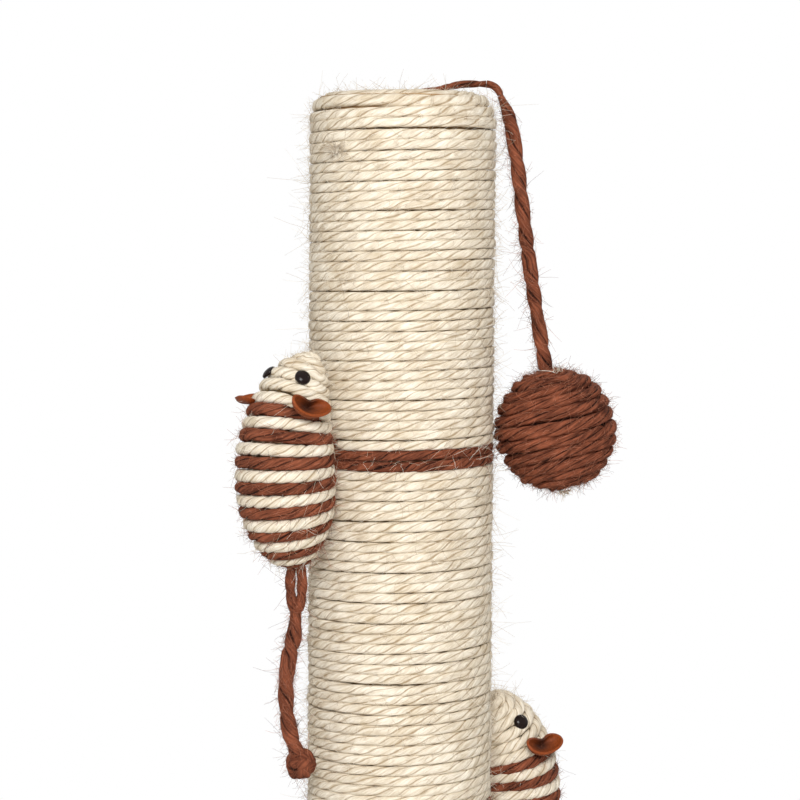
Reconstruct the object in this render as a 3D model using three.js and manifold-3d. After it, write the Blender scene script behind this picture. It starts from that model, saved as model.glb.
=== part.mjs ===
// A cat scratching post: a rope-wound post on a plush-covered board, with a rope ball
// hanging over its rim and two rope mice tied to its sides.
// Millimetres, +Z up. The origin is the middle of the underside.
import * as THREE from 'three';
import { mergeVertices } from 'three/addons/utils/BufferGeometryUtils.js';
import Module from 'manifold-3d';

const wasm = await Module();
wasm.setup();

// ---------------------------------------------------------------- driving dimensions

const SEAT_GAP = 0.3; // between pieces that touch
const TURN_GAP = 0.45; // between neighbouring turns of a wound rope

// Base
const BASE_SIDE = 350;
const BASE_CORNER = 32;
const BOARD_THICKNESS = 15;
const PLUSH_THICKNESS = 3.2;
const BACKING_THICKNESS = 1.2;

// Post: a cardboard tube between two wooden plugs, wound with rope
const POST_HEIGHT = 530; // from the plush to the rim
const POST_DIAMETER = 90; // over the rope
const TUBE_DIAMETER = 80;
const TUBE_WALL = 4;
const PLUG_THICKNESS = 18;
const PLUG_CHAMFER = 1.5;
const UPPER_BAND_DEPTH = 176.5; // from the rim to the middle of the brown band
const LOWER_BAND_DEPTH = 351;
const BAND_PITCH = 4.87;
const BAND_TURNS = 2;
const POST_LOOPS = 24; // of the rope in each natural stretch
const POST_STEPS = 11.5; // per loop, so that the facets of neighbouring loops alternate
const BAND_STEPS = 13;
const SPIRAL_PITCH = 5;
const SPIRAL_DEPTH = 4.4;
const SPIRAL_STEPS = 12;

// Bolt that holds the post to the board, from below
const BOLT_DIAMETER = 8;
const BOLT_HOLE_DIAMETER = 9;
const BOLT_GRIP = 14; // into the bottom plug
const BOLT_HEAD_WIDTH = 13; // across the flats
const BOLT_HEAD_HEIGHT = 5.3;
const WASHER_DIAMETER = 24;
const WASHER_THICKNESS = 2;
const COUNTERBORE_DIAMETER = 28;
const ACCESS_HOLE_DIAMETER = 32; // in the backing
const NUT_BARREL_DIAMETER = 11;
const NUT_BARREL_LENGTH = 11;
const NUT_FLANGE_DIAMETER = 24;
const NUT_FLANGE_THICKNESS = 1.5;

// Ball and its rope, which runs up through the top, over the rim and down
const BALL_DIAMETER = 59;
const BALL_DEPTH = 164.4; // from the rim down to its centre
const BALL_LOOPS = 11;
const BALL_END = 0.54; // of a pitch, from the pole to the rope's end
const BALL_STEPS = 11;
const BALL_ROPE_DEPTH = 5;
const BALL_TURN_GAP = 0.6; // at the crowns; the feet of the turns lie closer
const BALL_CLEARANCE = 0.6; // between ball and post
const ROPE_DIAMETER = 7.3;
const ROPE_FLAT = 3.6; // thickness where it lies flattened on the top and the rim
const ROPE_HOLE_DIAMETER = 8.2;
const ROPE_SIDES = 12;
const ROPE_CORNER = 6; // of the bend out of the hole
const RIM_ROUNDING = 5;
const STOP_KNOT_DIAMETER = 14;
// The hanging stretch: x from the post's axis, z from the rim, and its thickness there
const HANGING_ROUTE = [
  [47.6, -5.2, 3.6],
  [50.6, -12, 7.1],
  [53, -22, 7.3],
  [55.3, -36, 7.3],
  [58.9, -64, 7.3],
  [63.8, -98, 7.3],
];

// Mice
const MOUSE_LENGTH = 101.4;
const MOUSE_DIAMETER = 47.4;
const MOUSE_BELLY = 40; // height of the widest place over the tail end
const MOUSE_ROPE_DEPTH = 4.6;
const MOUSE_TURN_GAP = 0.75; // at the crowns
const MOUSE_STEPS = 8;
const STRIPE_PITCH = 12.1; // one natural turn and one brown turn
const STRIPE_LOOPS = 6.25; // whole steps, so that neighbouring facets line up
const STRIPE_START = 11.4; // along the skin, from the tail end to the first brown turn
const STRIPE_DIRECTION = -90; // where the ropes start, from the outward direction, degrees
const TAIL_TILT = 7; // how far the tail end bends towards the post
const TIE_DIAMETER = 6;
const EYE_DIAMETER = 7.4;
const EYE_HEIGHT = 1.9;
const EYE_RIM = 0.6; // height of its straight edge
const EYE_DEPTH = 13.4; // below the nose
const EYE_ANGLE = 44; // each side of the back's middle, degrees
const EAR_WIDTH = 20;
const EAR_REACH = 9.6;
const EAR_HEIGHT = 8.4;
const EAR_THICKNESS = 1.2;
const EAR_EASE = 0.8; // by which its edges are less curved than the head
const EAR_DEPTH = 21.5; // of its rim below the nose
const EAR_ANGLE = 56;
const EAR_ROLL = 14; // the rim drops towards the belly, degrees
const PRESSED_EAR_REACH = 2.6; // of an ear that the post presses flat

// Tails: a loop of one strand, then the twisted rope and its knot
const STRAND_DIAMETER = 4;
const LOOP_HEIGHT = 28;
const LOOP_WIDTH = 14;
const LOOP_TURN = 49; // its plane, degrees
const TAIL_DIAMETER = 7.4;
const TAIL_SIDES = 10;
const KNOT_DIAMETER = 15.6;
// Under the loop: x from the mouse's axis, away from the post, and z from the mouse's middle
const TAIL_ROUTE = [
  [-3, -92],
  [-0.9, -108.5],
  [-2.8, -126.5],
  [-7, -137.6],
];
const KNOT_PLACE = [-10, -145.2];

// Where each mouse hangs: direction from the post, distance of its axis, the way its back
// faces from the outward direction, how far its nose bends in, and which ear is pressed
const MICE = [
  {
    name: 'mouse1', direction: -139, distance: 72, depth: UPPER_BAND_DEPTH, face: 13, lean: 12, pressed: 0,
  },
  {
    name: 'mouse2', direction: 39, distance: 76, depth: LOWER_BAND_DEPTH, face: -136, lean: 16, pressed: 1,
  },
];

// ---------------------------------------------------------------- places worked out from them

const POST_R = POST_DIAMETER / 2;
const TUBE_R = TUBE_DIAMETER / 2;
const TUBE_BORE_R = TUBE_R - TUBE_WALL;
const ROPE_R = ROPE_DIAMETER / 2;
const BOARD_Z = BACKING_THICKNESS + SEAT_GAP;
const PLUSH_Z = BOARD_Z + BOARD_THICKNESS + SEAT_GAP;
const BASE_TOP = PLUSH_Z + PLUSH_THICKNESS;
const TUBE_Z = BASE_TOP + SEAT_GAP;
const RIM_Z = BASE_TOP + POST_HEIGHT;
const TUBE_TOP = RIM_Z - SPIRAL_DEPTH - SEAT_GAP;
const BOARD_SIDE = BASE_SIDE - 2 * (PLUSH_THICKNESS + SEAT_GAP);
const BOARD_CORNER = BASE_CORNER - PLUSH_THICKNESS - SEAT_GAP;
const PLUG_R = TUBE_BORE_R - SEAT_GAP;
const COUNTERBORE_Z = BOARD_Z + BOLT_HEAD_HEIGHT + WASHER_THICKNESS + 2 * SEAT_GAP;
const NUT_Z = TUBE_Z + PLUG_THICKNESS; // the nut's flange lies on the bottom plug
const BAND_HALF = ((BAND_TURNS + 1) * BAND_PITCH) / 2;
const BALL_R = BALL_DIAMETER / 2;
const MOUSE_R = MOUSE_DIAMETER / 2;
const MOUSE_HALF = MOUSE_LENGTH / 2;

const radians = THREE.MathUtils.degToRad;

// ---------------------------------------------------------------- materials

const colour = (hex, roughness, metalness = 0) => ({ color: hex, roughness, metalness });
const FINISH = {
  sisal: colour(0xe4d6bc, 0.92),
  brownRope: colour(0x7a4636, 0.9),
  board: colour(0xb08d62, 0.8),
  plush: colour(0xd9c7a6, 0.98),
  backing: colour(0x55504a, 0.95),
  cardboard: colour(0xa98a63, 0.9),
  plug: colour(0xc7a677, 0.75),
  steel: colour(0xb4b6b8, 0.4, 0.9),
  ear: colour(0x9a4a1c, 0.6),
  eye: colour(0x1a0d0a, 0.25),
  foam: colour(0xcdbb98, 0.9),
};

// ---------------------------------------------------------------- solids

// A geometry with merged vertices and its faces turned outward.
function closed(geometry) {
  geometry.deleteAttribute('normal');
  geometry.deleteAttribute('uv');
  const merged = mergeVertices(geometry, 1e-4);
  const p = merged.attributes.position;
  const corners = [new THREE.Vector3(), new THREE.Vector3(), new THREE.Vector3()];
  const kept = [];
  let volume = 0;
  for (let i = 0; i < merged.index.count; i += 3) {
    const face = [0, 1, 2].map((k) => merged.index.getX(i + k));
    if (new Set(face).size < 3) continue;
    face.forEach((v, k) => corners[k].fromBufferAttribute(p, v));
    volume += corners[0].dot(corners[1].clone().cross(corners[2]));
    kept.push(...face);
  }
  if (volume < 0) kept.reverse();
  merged.setIndex(kept);
  merged.computeVertexNormals();
  return merged;
}

function toSolid(geometry) {
  const source = closed(geometry);
  return new wasm.Manifold(new wasm.Mesh({
    numProp: 3,
    vertProperties: new Float32Array(source.attributes.position.array),
    triVerts: new Uint32Array(source.index.array),
  }));
}

function fromSolid(solid) {
  const mesh = solid.getMesh();
  const geometry = new THREE.BufferGeometry();
  geometry.setAttribute('position', new THREE.BufferAttribute(new Float32Array(mesh.vertProperties), 3));
  geometry.setIndex([...mesh.triVerts]);
  geometry.computeVertexNormals();
  return geometry;
}

function cut(body, ...tools) {
  return fromSolid(tools.reduce((left, tool) => left.subtract(toSolid(tool)), toSolid(body)));
}

function join(body, ...others) {
  return fromSolid(others.reduce((sum, other) => sum.add(toSolid(other)), toSolid(body)));
}

function roundedSquare(side, corner, bottom, height) {
  const h = side / 2;
  const shape = new THREE.Shape();
  shape.moveTo(-h + corner, -h);
  shape.lineTo(h - corner, -h);
  shape.absarc(h - corner, -h + corner, corner, -Math.PI / 2, 0);
  shape.absarc(h - corner, h - corner, corner, 0, Math.PI / 2);
  shape.absarc(-h + corner, h - corner, corner, Math.PI / 2, Math.PI);
  shape.absarc(-h + corner, -h + corner, corner, Math.PI, 1.5 * Math.PI);
  const slab = new THREE.ExtrudeGeometry(shape, { depth: height, bevelEnabled: false, curveSegments: 8 });
  return slab.translate(0, 0, bottom);
}

// An upright cylinder from its foot, and a solid of revolution from [radius, z] points.
function rod(radius, bottom, height, sides = 24) {
  return new THREE.CylinderGeometry(radius, radius, height, sides).rotateX(Math.PI / 2)
    .translate(0, 0, bottom + height / 2);
}

function turned(points, sides = 32) {
  const profile = points.map(([r, z]) => new THREE.Vector2(r, z));
  return new THREE.LatheGeometry(profile, sides).rotateX(Math.PI / 2);
}

// A closed skin over rings of equal point counts, with ends unless it closes on itself. The
// strips across an end suit a round section and a curved wall's section alike.
function skin(rings, endless = false) {
  const sides = rings[0].length;
  const index = [];
  const spans = endless ? rings.length : rings.length - 1;
  for (let i = 0; i < spans; i++) {
    const here = i * sides;
    const next = ((i + 1) % rings.length) * sides;
    for (let j = 0; j < sides; j++) {
      const k = (j + 1) % sides;
      index.push(here + j, here + k, next + k, here + j, next + k, next + j);
    }
  }
  if (!endless) {
    const last = (rings.length - 1) * sides;
    for (let j = 0; j < sides - 1 - j; j++) {
      const k = sides - 1 - j;
      index.push(j, k - 1, j + 1, j, k, k - 1);
      index.push(last + j, last + j + 1, last + k - 1, last + j, last + k - 1, last + k);
    }
  }
  const geometry = new THREE.BufferGeometry().setFromPoints(rings.flat());
  geometry.setIndex(index);
  return closed(geometry);
}

// ---------------------------------------------------------------- wound rope

// A rope wound on a surface of revolution as one unbroken tube. along(turn, shift) gives a
// place on the surface's outline, shift millimetres past the rope's middle: radius r, height
// z and the outward normal (nr, nz). The section's points are [outward, shift].
function windings({ along, loops, steps, section, phase = 0, bend = (p) => p }) {
  const rings = [];
  const count = Math.round(loops * steps);
  for (let i = 0; i <= count; i++) {
    const turn = (loops * i) / count;
    const angle = phase + 2 * Math.PI * turn;
    rings.push(section.map(([out, shift]) => {
      const { r, z, nr, nz } = along(turn, shift);
      const radius = r + out * nr;
      return bend(new THREE.Vector3(radius * Math.cos(angle), radius * Math.sin(angle), z + out * nz));
    }));
  }
  return rings;
}

// The least distance between points of one tube that lie more than half a loop apart,
// with the spans between its rings divided further.
function leastGap(rings, steps) {
  const points = [];
  const parts = 4;
  rings.slice(0, -1).forEach((ring, i) => {
    for (let k = 0; k < parts; k++) {
      const place = i + k / parts;
      ring.forEach((point, j) => points.push([place, point.clone().lerp(rings[i + 1][j], k / parts)]));
    }
  });
  let least = Infinity;
  points.forEach(([place, point], i) => {
    for (let k = i + 1; k < points.length && points[k][0] < place + 1.6 * steps; k++) {
      if (points[k][0] > place + steps / 2) least = Math.min(least, point.distanceTo(points[k][1]));
    }
  });
  return least;
}

function woundTube(name, spec) {
  const rings = windings(spec);
  const gap = leastGap(rings, spec.steps);
  console.log(`${name}: ${spec.loops.toFixed(1)} loops, least gap to itself ${gap.toFixed(2)} mm`);
  return skin(rings);
}

// Rope pressed against what it is wound on: a wide foot and a narrow crown.
const foot = (depth, width) => [[-depth, -width / 2], [-depth, width / 2]];
const wedge = (depth, width) => [...foot(depth, width), [0, 0]];
const flatCrown = (depth, width) => [...foot(depth, width), [0, width / 4], [0, -width / 4]];

// How deep a rope may be on a drum, when its straight facets must clear the drum.
const depthOver = (outer, drum, steps) => outer - (drum + SEAT_GAP) / Math.cos(Math.PI / steps);

// ---------------------------------------------------------------- assembly

const post = new THREE.Group();

function add(parent, name, geometry, finish) {
  const mesh = new THREE.Mesh(geometry, new THREE.MeshStandardMaterial(finish));
  mesh.name = name;
  parent.add(mesh);
  return mesh;
}

// ---------------------------------------------------------------- base

function base() {
  const boltHole = rod(BOLT_HOLE_DIAMETER / 2, 0, BASE_TOP + SEAT_GAP);
  const pocketSide = BASE_SIDE - 2 * PLUSH_THICKNESS;
  const pocket = roundedSquare(pocketSide, BASE_CORNER - PLUSH_THICKNESS, -1, PLUSH_Z + 1);
  const cover = roundedSquare(BASE_SIDE, BASE_CORNER, 0, BASE_TOP);
  add(post, 'base_cover', cut(cover, pocket, boltHole), FINISH.plush);

  const counterbore = rod(COUNTERBORE_DIAMETER / 2, 0, COUNTERBORE_Z);
  const board = roundedSquare(BOARD_SIDE, BOARD_CORNER, BOARD_Z, BOARD_THICKNESS);
  add(post, 'base_board', cut(board, boltHole, counterbore), FINISH.board);

  const sheet = roundedSquare(BOARD_SIDE, BOARD_CORNER, 0, BACKING_THICKNESS);
  const access = rod(ACCESS_HOLE_DIAMETER / 2, -1, BACKING_THICKNESS + 2);
  add(post, 'base_backing', cut(sheet, access), FINISH.backing);
}

// ---------------------------------------------------------------- bolt, washer and nut

function fastening() {
  const washerTop = COUNTERBORE_Z - SEAT_GAP;
  const washerZ = washerTop - WASHER_THICKNESS;
  const hole = rod(BOLT_DIAMETER / 2 + SEAT_GAP, washerZ - 1, WASHER_THICKNESS + 2);
  add(post, 'bolt_washer', cut(rod(WASHER_DIAMETER / 2, washerZ, WASHER_THICKNESS), hole), FINISH.steel);

  const headTop = washerZ - SEAT_GAP;
  const headR = BOLT_HEAD_WIDTH / Math.sqrt(3); // over the corners
  const head = rod(headR, headTop - BOLT_HEAD_HEIGHT, BOLT_HEAD_HEIGHT, 6);
  const shank = rod(BOLT_DIAMETER / 2, headTop - 1, TUBE_Z + BOLT_GRIP - headTop + 1, 20);
  add(post, 'post_bolt', join(head, shank), FINISH.steel);

  const bore = rod(BOLT_DIAMETER / 2 + SEAT_GAP, TUBE_Z, PLUG_THICKNESS * 2);
  const barrel = rod(NUT_BARREL_DIAMETER / 2, NUT_Z + SEAT_GAP - NUT_BARREL_LENGTH, NUT_BARREL_LENGTH + 1);
  const flange = rod(NUT_FLANGE_DIAMETER / 2, NUT_Z + SEAT_GAP, NUT_FLANGE_THICKNESS);
  add(post, 'tee_nut', cut(join(barrel, flange), bore), FINISH.steel);
}

// ---------------------------------------------------------------- tube and plugs

function plug(bottom, ...holes) {
  const top = bottom + PLUG_THICKNESS;
  const disc = turned([
    [0, bottom],
    [PLUG_R - PLUG_CHAMFER, bottom],
    [PLUG_R, bottom + PLUG_CHAMFER],
    [PLUG_R, top - PLUG_CHAMFER],
    [PLUG_R - PLUG_CHAMFER, top],
    [0, top],
  ]);
  return cut(disc, ...holes);
}

function tubeAndPlugs() {
  const outside = rod(TUBE_R, TUBE_Z, TUBE_TOP - TUBE_Z, 46);
  const bore = rod(TUBE_BORE_R, TUBE_Z - 1, TUBE_TOP - TUBE_Z + 2, 32);
  add(post, 'post_tube', cut(outside, bore), FINISH.cardboard);

  const nutSeat = rod(NUT_BARREL_DIAMETER / 2 + SEAT_GAP, NUT_Z - NUT_BARREL_LENGTH, NUT_BARREL_LENGTH + 1);
  const boltHole = rod(BOLT_HOLE_DIAMETER / 2, TUBE_Z - 1, PLUG_THICKNESS);
  add(post, 'bottom_plug', plug(TUBE_Z, nutSeat, boltHole), FINISH.plug);

  const ropeHole = rod(ROPE_HOLE_DIAMETER / 2, TUBE_TOP - PLUG_THICKNESS - 1, PLUG_THICKNESS + 2, 24);
  add(post, 'top_plug', plug(TUBE_TOP - PLUG_THICKNESS, ropeHole), FINISH.plug);
}

// ---------------------------------------------------------------- the post's rope

const onPost = (z) => ({ r: POST_R, z, nr: 1, nz: 0 });

function postStretch(name, bottom, top) {
  const pitch = (top - bottom) / (POST_LOOPS + 1);
  const depth = depthOver(POST_R, TUBE_R, POST_STEPS);
  add(post, name, woundTube(name, {
    along: (turn, shift) => onPost(bottom + pitch * (turn + 0.5) + shift),
    loops: POST_LOOPS,
    steps: POST_STEPS,
    section: wedge(depth, pitch - TURN_GAP),
  }), FINISH.sisal);
}

function band(name, middle, phase) {
  const depth = depthOver(POST_R, TUBE_R, BAND_STEPS);
  add(post, name, woundTube(name, {
    along: (turn, shift) => onPost(middle + BAND_PITCH * (turn - BAND_TURNS / 2) + shift),
    loops: BAND_TURNS,
    steps: BAND_STEPS,
    section: flatCrown(depth, BAND_PITCH - TURN_GAP),
    phase,
  }), FINISH.brownRope);
}

// A flat spiral that covers the tube's end and the top plug.
function topSpiral() {
  const inner = ROPE_HOLE_DIAMETER / 2;
  const outer = TUBE_R - SEAT_GAP;
  const loops = Math.floor((outer - inner) / SPIRAL_PITCH) - 1;
  const pitch = (outer - inner) / (loops + 1);
  add(post, 'top_spiral', woundTube('top_spiral', {
    along: (turn, shift) => ({ r: outer - pitch * (turn + 0.5) - shift, z: RIM_Z, nr: 0, nz: 1 }),
    loops,
    steps: SPIRAL_STEPS,
    section: wedge(SPIRAL_DEPTH, pitch - TURN_GAP),
  }), FINISH.sisal);
}

function postRopes() {
  const upper = RIM_Z - UPPER_BAND_DEPTH;
  const lower = RIM_Z - LOWER_BAND_DEPTH;
  postStretch('winding_upper', upper + BAND_HALF, RIM_Z);
  postStretch('winding_middle', lower + BAND_HALF, upper - BAND_HALF);
  postStretch('winding_lower', TUBE_Z, lower - BAND_HALF);
  band('band_upper', upper, radians(MICE[0].direction));
  band('band_lower', lower, radians(MICE[1].direction));
  topSpiral();
}

// ---------------------------------------------------------------- free ropes

const atSide = (x, z) => new THREE.Vector3(x, 0, z);

// A round rope along a smooth curve through [x, z] points.
function cord(points, diameter, sides, steps) {
  const section = new THREE.Shape();
  for (let i = 0; i < sides; i++) {
    const angle = (2 * Math.PI * (i + 0.5)) / sides;
    const place = [Math.cos(angle) * diameter / 2, Math.sin(angle) * diameter / 2];
    if (i === 0) section.moveTo(...place);
    else section.lineTo(...place);
  }
  const extrudePath = new THREE.CatmullRomCurve3(points.map(([x, z]) => atSide(x, z)));
  return new THREE.ExtrudeGeometry(section, { steps, bevelEnabled: false, extrudePath });
}

// A rope in the XZ plane that is as wide as a rope is, and as thick as its points say.
function flattenedRope(points) {
  return skin(points.map(({ x, z, angle, thickness }) => {
    const across = new THREE.Vector3(Math.sin(angle), 0, Math.cos(angle));
    return Array.from({ length: ROPE_SIDES }, (_, j) => {
      const turn = (2 * Math.PI * j) / ROPE_SIDES;
      return atSide(x, z).addScaledVector(across, (Math.cos(turn) * thickness) / 2)
        .add(new THREE.Vector3(0, ROPE_R * Math.sin(turn), 0));
    });
  }));
}

// Points on an arc in the XZ plane; angle is the turn from +Z to +X where the arc's middle looks out.
function arc(centreX, centreZ, radius, from, to, thickness, steps) {
  return Array.from({ length: steps + 1 }, (_, i) => {
    const angle = from + ((to - from) * i) / steps;
    return { x: centreX + radius * Math.sin(angle), z: centreZ + radius * Math.cos(angle), angle, thickness };
  });
}

const HANGING_LEAN = Math.atan2(
  HANGING_ROUTE[1][0] - HANGING_ROUTE[0][0],
  HANGING_ROUTE[0][1] - HANGING_ROUTE[1][1],
);
const RIM_BEND_X = POST_R - RIM_ROUNDING;
const RIM_BEND_R = RIM_ROUNDING + SEAT_GAP + ROPE_FLAT / 2;
const TOP_ROPE_Z = RIM_Z + SEAT_GAP + ROPE_FLAT / 2;

// The rope from its knot under the top plug, up through the hole and out to the rim.
function ballRopeTop() {
  const kneeZ = TOP_ROPE_Z - ROPE_CORNER;
  const knee = arc(ROPE_CORNER, kneeZ, ROPE_CORNER, -Math.PI / 2, 0, ROPE_FLAT, 5);
  const knotZ = TUBE_TOP - PLUG_THICKNESS - SEAT_GAP - STOP_KNOT_DIAMETER / 2;
  const start = { ...knee[0], z: knotZ };
  const end = { ...knee.at(-1), x: RIM_BEND_X - SEAT_GAP / 2 };
  const knot = new THREE.SphereGeometry(STOP_KNOT_DIAMETER / 2, 12, 8).translate(0, 0, knotZ);
  add(post, 'ball_rope_top', join(flattenedRope([start, ...knee, end]), knot), FINISH.brownRope);
}

// The rope round the rim, which ends just short of the place where the hanging stretch swings.
function ballRopeBend() {
  const turn = Math.PI / 2 - HANGING_LEAN;
  const slack = SEAT_GAP / 2 / RIM_BEND_R;
  const bendZ = TOP_ROPE_Z - RIM_BEND_R;
  const points = arc(RIM_BEND_X, bendZ, RIM_BEND_R, slack, turn, ROPE_FLAT, 6);
  const short = ROPE_FLAT / 2 + SEAT_GAP;
  const end = {
    ...points.at(-1),
    x: HANGING_ROUTE[0][0] - short * Math.sin(HANGING_LEAN),
    z: RIM_Z + HANGING_ROUTE[0][1] + short * Math.cos(HANGING_LEAN),
  };
  add(post, 'ball_rope_bend', flattenedRope([...points, end]), FINISH.brownRope);
}

// The hanging stretch, with a round head where it swings, down to the ball's pole.
function ballRope(pole) {
  const stations = [...HANGING_ROUTE.map(([x, z, t]) => [x, RIM_Z + z, t]), [...pole, ROPE_DIAMETER]];
  const points = stations.map(([x, z, thickness], i) => {
    const [fromX, fromZ] = stations[Math.max(i - 1, 0)];
    const [toX, toZ] = stations[Math.min(i + 1, stations.length - 1)];
    return { x, z, angle: Math.atan2(fromZ - toZ, toX - fromX), thickness };
  });
  const head = [80, 55, 28].map((degrees) => {
    const up = (ROPE_FLAT / 2) * Math.sin(radians(degrees));
    return {
      x: points[0].x - up * Math.sin(HANGING_LEAN),
      z: points[0].z + up * Math.cos(HANGING_LEAN),
      angle: points[0].angle,
      thickness: ROPE_FLAT * Math.cos(radians(degrees)),
    };
  });
  add(post, 'ball_rope', flattenedRope([...head, ...points]), FINISH.brownRope);
}

// ---------------------------------------------------------------- ball

// A winding from pole to pole of a ball, along its outline's length.
function ball() {
  const x = POST_R + BALL_CLEARANCE + BALL_R;
  const z = RIM_Z - BALL_DEPTH;
  const [lastX, lastZ] = HANGING_ROUTE.at(-1);
  const lean = Math.atan2(x - lastX, RIM_Z + lastZ - z);
  const reach = BALL_R + SEAT_GAP;
  ballRope([x - reach * Math.sin(lean), z + reach * Math.cos(lean)]);

  const hanging = new THREE.Group();
  hanging.position.set(x, 0, z);
  hanging.rotation.y = -lean;
  post.add(hanging);
  const pitch = (Math.PI * BALL_R) / (BALL_LOOPS + 2 * BALL_END);
  const end = (BALL_END * pitch) / BALL_R;
  add(hanging, 'ball_winding', woundTube('ball_winding', {
    along: (turn, shift) => {
      const latitude = -Math.PI / 2 + end + ((Math.PI - 2 * end) * turn) / BALL_LOOPS + shift / BALL_R;
      const [nr, nz] = [Math.cos(latitude), Math.sin(latitude)];
      return { r: BALL_R * nr, z: BALL_R * nz, nr, nz };
    },
    loops: BALL_LOOPS,
    steps: BALL_STEPS,
    section: flatCrown(BALL_ROPE_DEPTH, pitch - BALL_TURN_GAP),
  }), FINISH.brownRope);
  const coreR = (BALL_R - BALL_ROPE_DEPTH) * Math.cos(Math.PI / BALL_STEPS) - SEAT_GAP;
  add(hanging, 'ball_core', new THREE.SphereGeometry(coreR, 16, 10).rotateX(Math.PI / 2), FINISH.foam);
}

// ---------------------------------------------------------------- mouse

// The body's outline: two half ellipses that meet at the widest place. tilt is the ellipse's
// own angle, -90 degrees at the tail end and 90 at the nose.
function outline(tilt) {
  const reach = tilt < 0 ? MOUSE_BELLY : MOUSE_LENGTH - MOUSE_BELLY;
  const [c, s] = [Math.cos(tilt), Math.sin(tilt)];
  const normal = new THREE.Vector2(reach * c, MOUSE_R * s).normalize();
  return { r: MOUSE_R * c, z: MOUSE_BELLY - MOUSE_HALF + reach * s, nr: normal.x, nz: normal.y };
}

// The same outline by its length from the tail end.
const SKIN_STEPS = 720;
const skinLengths = [0];
for (let i = 1; i <= SKIN_STEPS; i++) {
  const [a, b] = [i - 1, i].map((k) => outline(Math.PI * (k / SKIN_STEPS - 0.5)));
  skinLengths.push(skinLengths[i - 1] + Math.hypot(b.r - a.r, b.z - a.z));
}
function outlineAt(length) {
  const i = Math.max(1, skinLengths.findIndex((passed) => passed >= length));
  const share = (length - skinLengths[i - 1]) / (skinLengths[i] - skinLengths[i - 1]);
  return outline(Math.PI * ((i - 1 + share) / SKIN_STEPS - 0.5));
}
const tiltAtHeight = (z) => Math.asin((z + MOUSE_HALF - MOUSE_BELLY) / (MOUSE_LENGTH - MOUSE_BELLY));

// Bends a straight mouse so that its nose and its tail end lean towards the post, at -X.
function bender(lean) {
  return (p) => {
    const t = p.z / MOUSE_HALF;
    const reach = t > 0 ? lean : TAIL_TILT;
    const slope = Math.atan((2 * reach * t) / MOUSE_HALF);
    return new THREE.Vector3(
      -reach * t * t + p.x * Math.cos(slope),
      p.y,
      p.z + p.x * Math.sin(slope),
    );
  };
}

// The place, outward direction and upward direction on the bent skin.
function seatOn(bend, angle, tilt) {
  const { r, z, nr, nz } = outline(tilt);
  const at = (out, up) => bend(new THREE.Vector3(
    (r + out * nr - up * nz) * Math.cos(angle),
    (r + out * nr - up * nz) * Math.sin(angle),
    z + out * nz + up * nr,
  ));
  const place = at(SEAT_GAP, 0);
  const outward = at(1, 0).sub(at(0, 0)).normalize();
  const side = outward.clone().cross(at(0, 1).sub(at(0, 0))).normalize();
  return new THREE.Matrix4().makeBasis(side, outward, side.clone().cross(outward)).setPosition(place);
}

function mouseCore(bend) {
  const shrink = Math.cos(Math.PI / MOUSE_STEPS);
  const rows = 10;
  const points = [];
  for (let i = 0; i <= rows; i++) {
    const { r, z, nr, nz } = outline(Math.PI * (i / rows - 0.5));
    const inside = MOUSE_ROPE_DEPTH + SEAT_GAP;
    points.push([Math.max(0, (r - inside * nr) * shrink), z - inside * nz]);
  }
  points[0][0] = 0;
  points[rows][0] = 0;
  const core = closed(turned(points, 14));
  const p = core.attributes.position;
  for (let i = 0; i < p.count; i++) {
    const moved = bend(new THREE.Vector3().fromBufferAttribute(p, i));
    p.setXYZ(i, moved.x, moved.y, moved.z);
  }
  return core;
}

// Brown and natural rope wound side by side over the body; on the head the natural goes on alone.
function mouseRopes(name, group, bend) {
  const half = STRIPE_PITCH / 2;
  const noseLength = skinLengths.at(-1) - 0.7 * half;
  const naturalStart = STRIPE_START + half;
  const headStart = naturalStart + STRIPE_PITCH * STRIPE_LOOPS;
  const common = {
    steps: MOUSE_STEPS,
    section: flatCrown(MOUSE_ROPE_DEPTH, half - MOUSE_TURN_GAP),
    phase: radians(STRIPE_DIRECTION),
    bend,
  };
  const headLoops = Math.floor((MOUSE_STEPS * (noseLength - headStart)) / half) / MOUSE_STEPS;
  add(group, `${name}_brown_winding`, woundTube(`${name}_brown_winding`, {
    ...common,
    along: (turn, shift) => outlineAt(STRIPE_START + STRIPE_PITCH * turn + shift),
    loops: STRIPE_LOOPS,
  }), FINISH.brownRope);
  add(group, `${name}_natural_winding`, woundTube(`${name}_natural_winding`, {
    ...common,
    along: (turn, shift) => outlineAt(naturalStart + STRIPE_PITCH * Math.min(turn, STRIPE_LOOPS)
      + half * Math.max(0, turn - STRIPE_LOOPS) + shift),
    loops: STRIPE_LOOPS + headLoops,
  }), FINISH.sisal);
}

// A flat-backed bead with a low dome. Y is outward.
function eye() {
  const [radius, steps, sides] = [EYE_DIAMETER / 2, 4, 14];
  const profile = [new THREE.Vector2(0, 0), new THREE.Vector2(radius, 0)];
  for (let i = 0; i < steps; i++) {
    const angle = (Math.PI / 2) * (i / steps);
    const height = EYE_RIM + (EYE_HEIGHT - EYE_RIM) * Math.sin(angle);
    profile.push(new THREE.Vector2(radius * Math.cos(angle), height));
  }
  profile.push(new THREE.Vector2(0, EYE_HEIGHT));
  return new THREE.LatheGeometry(profile, sides);
}

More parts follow.
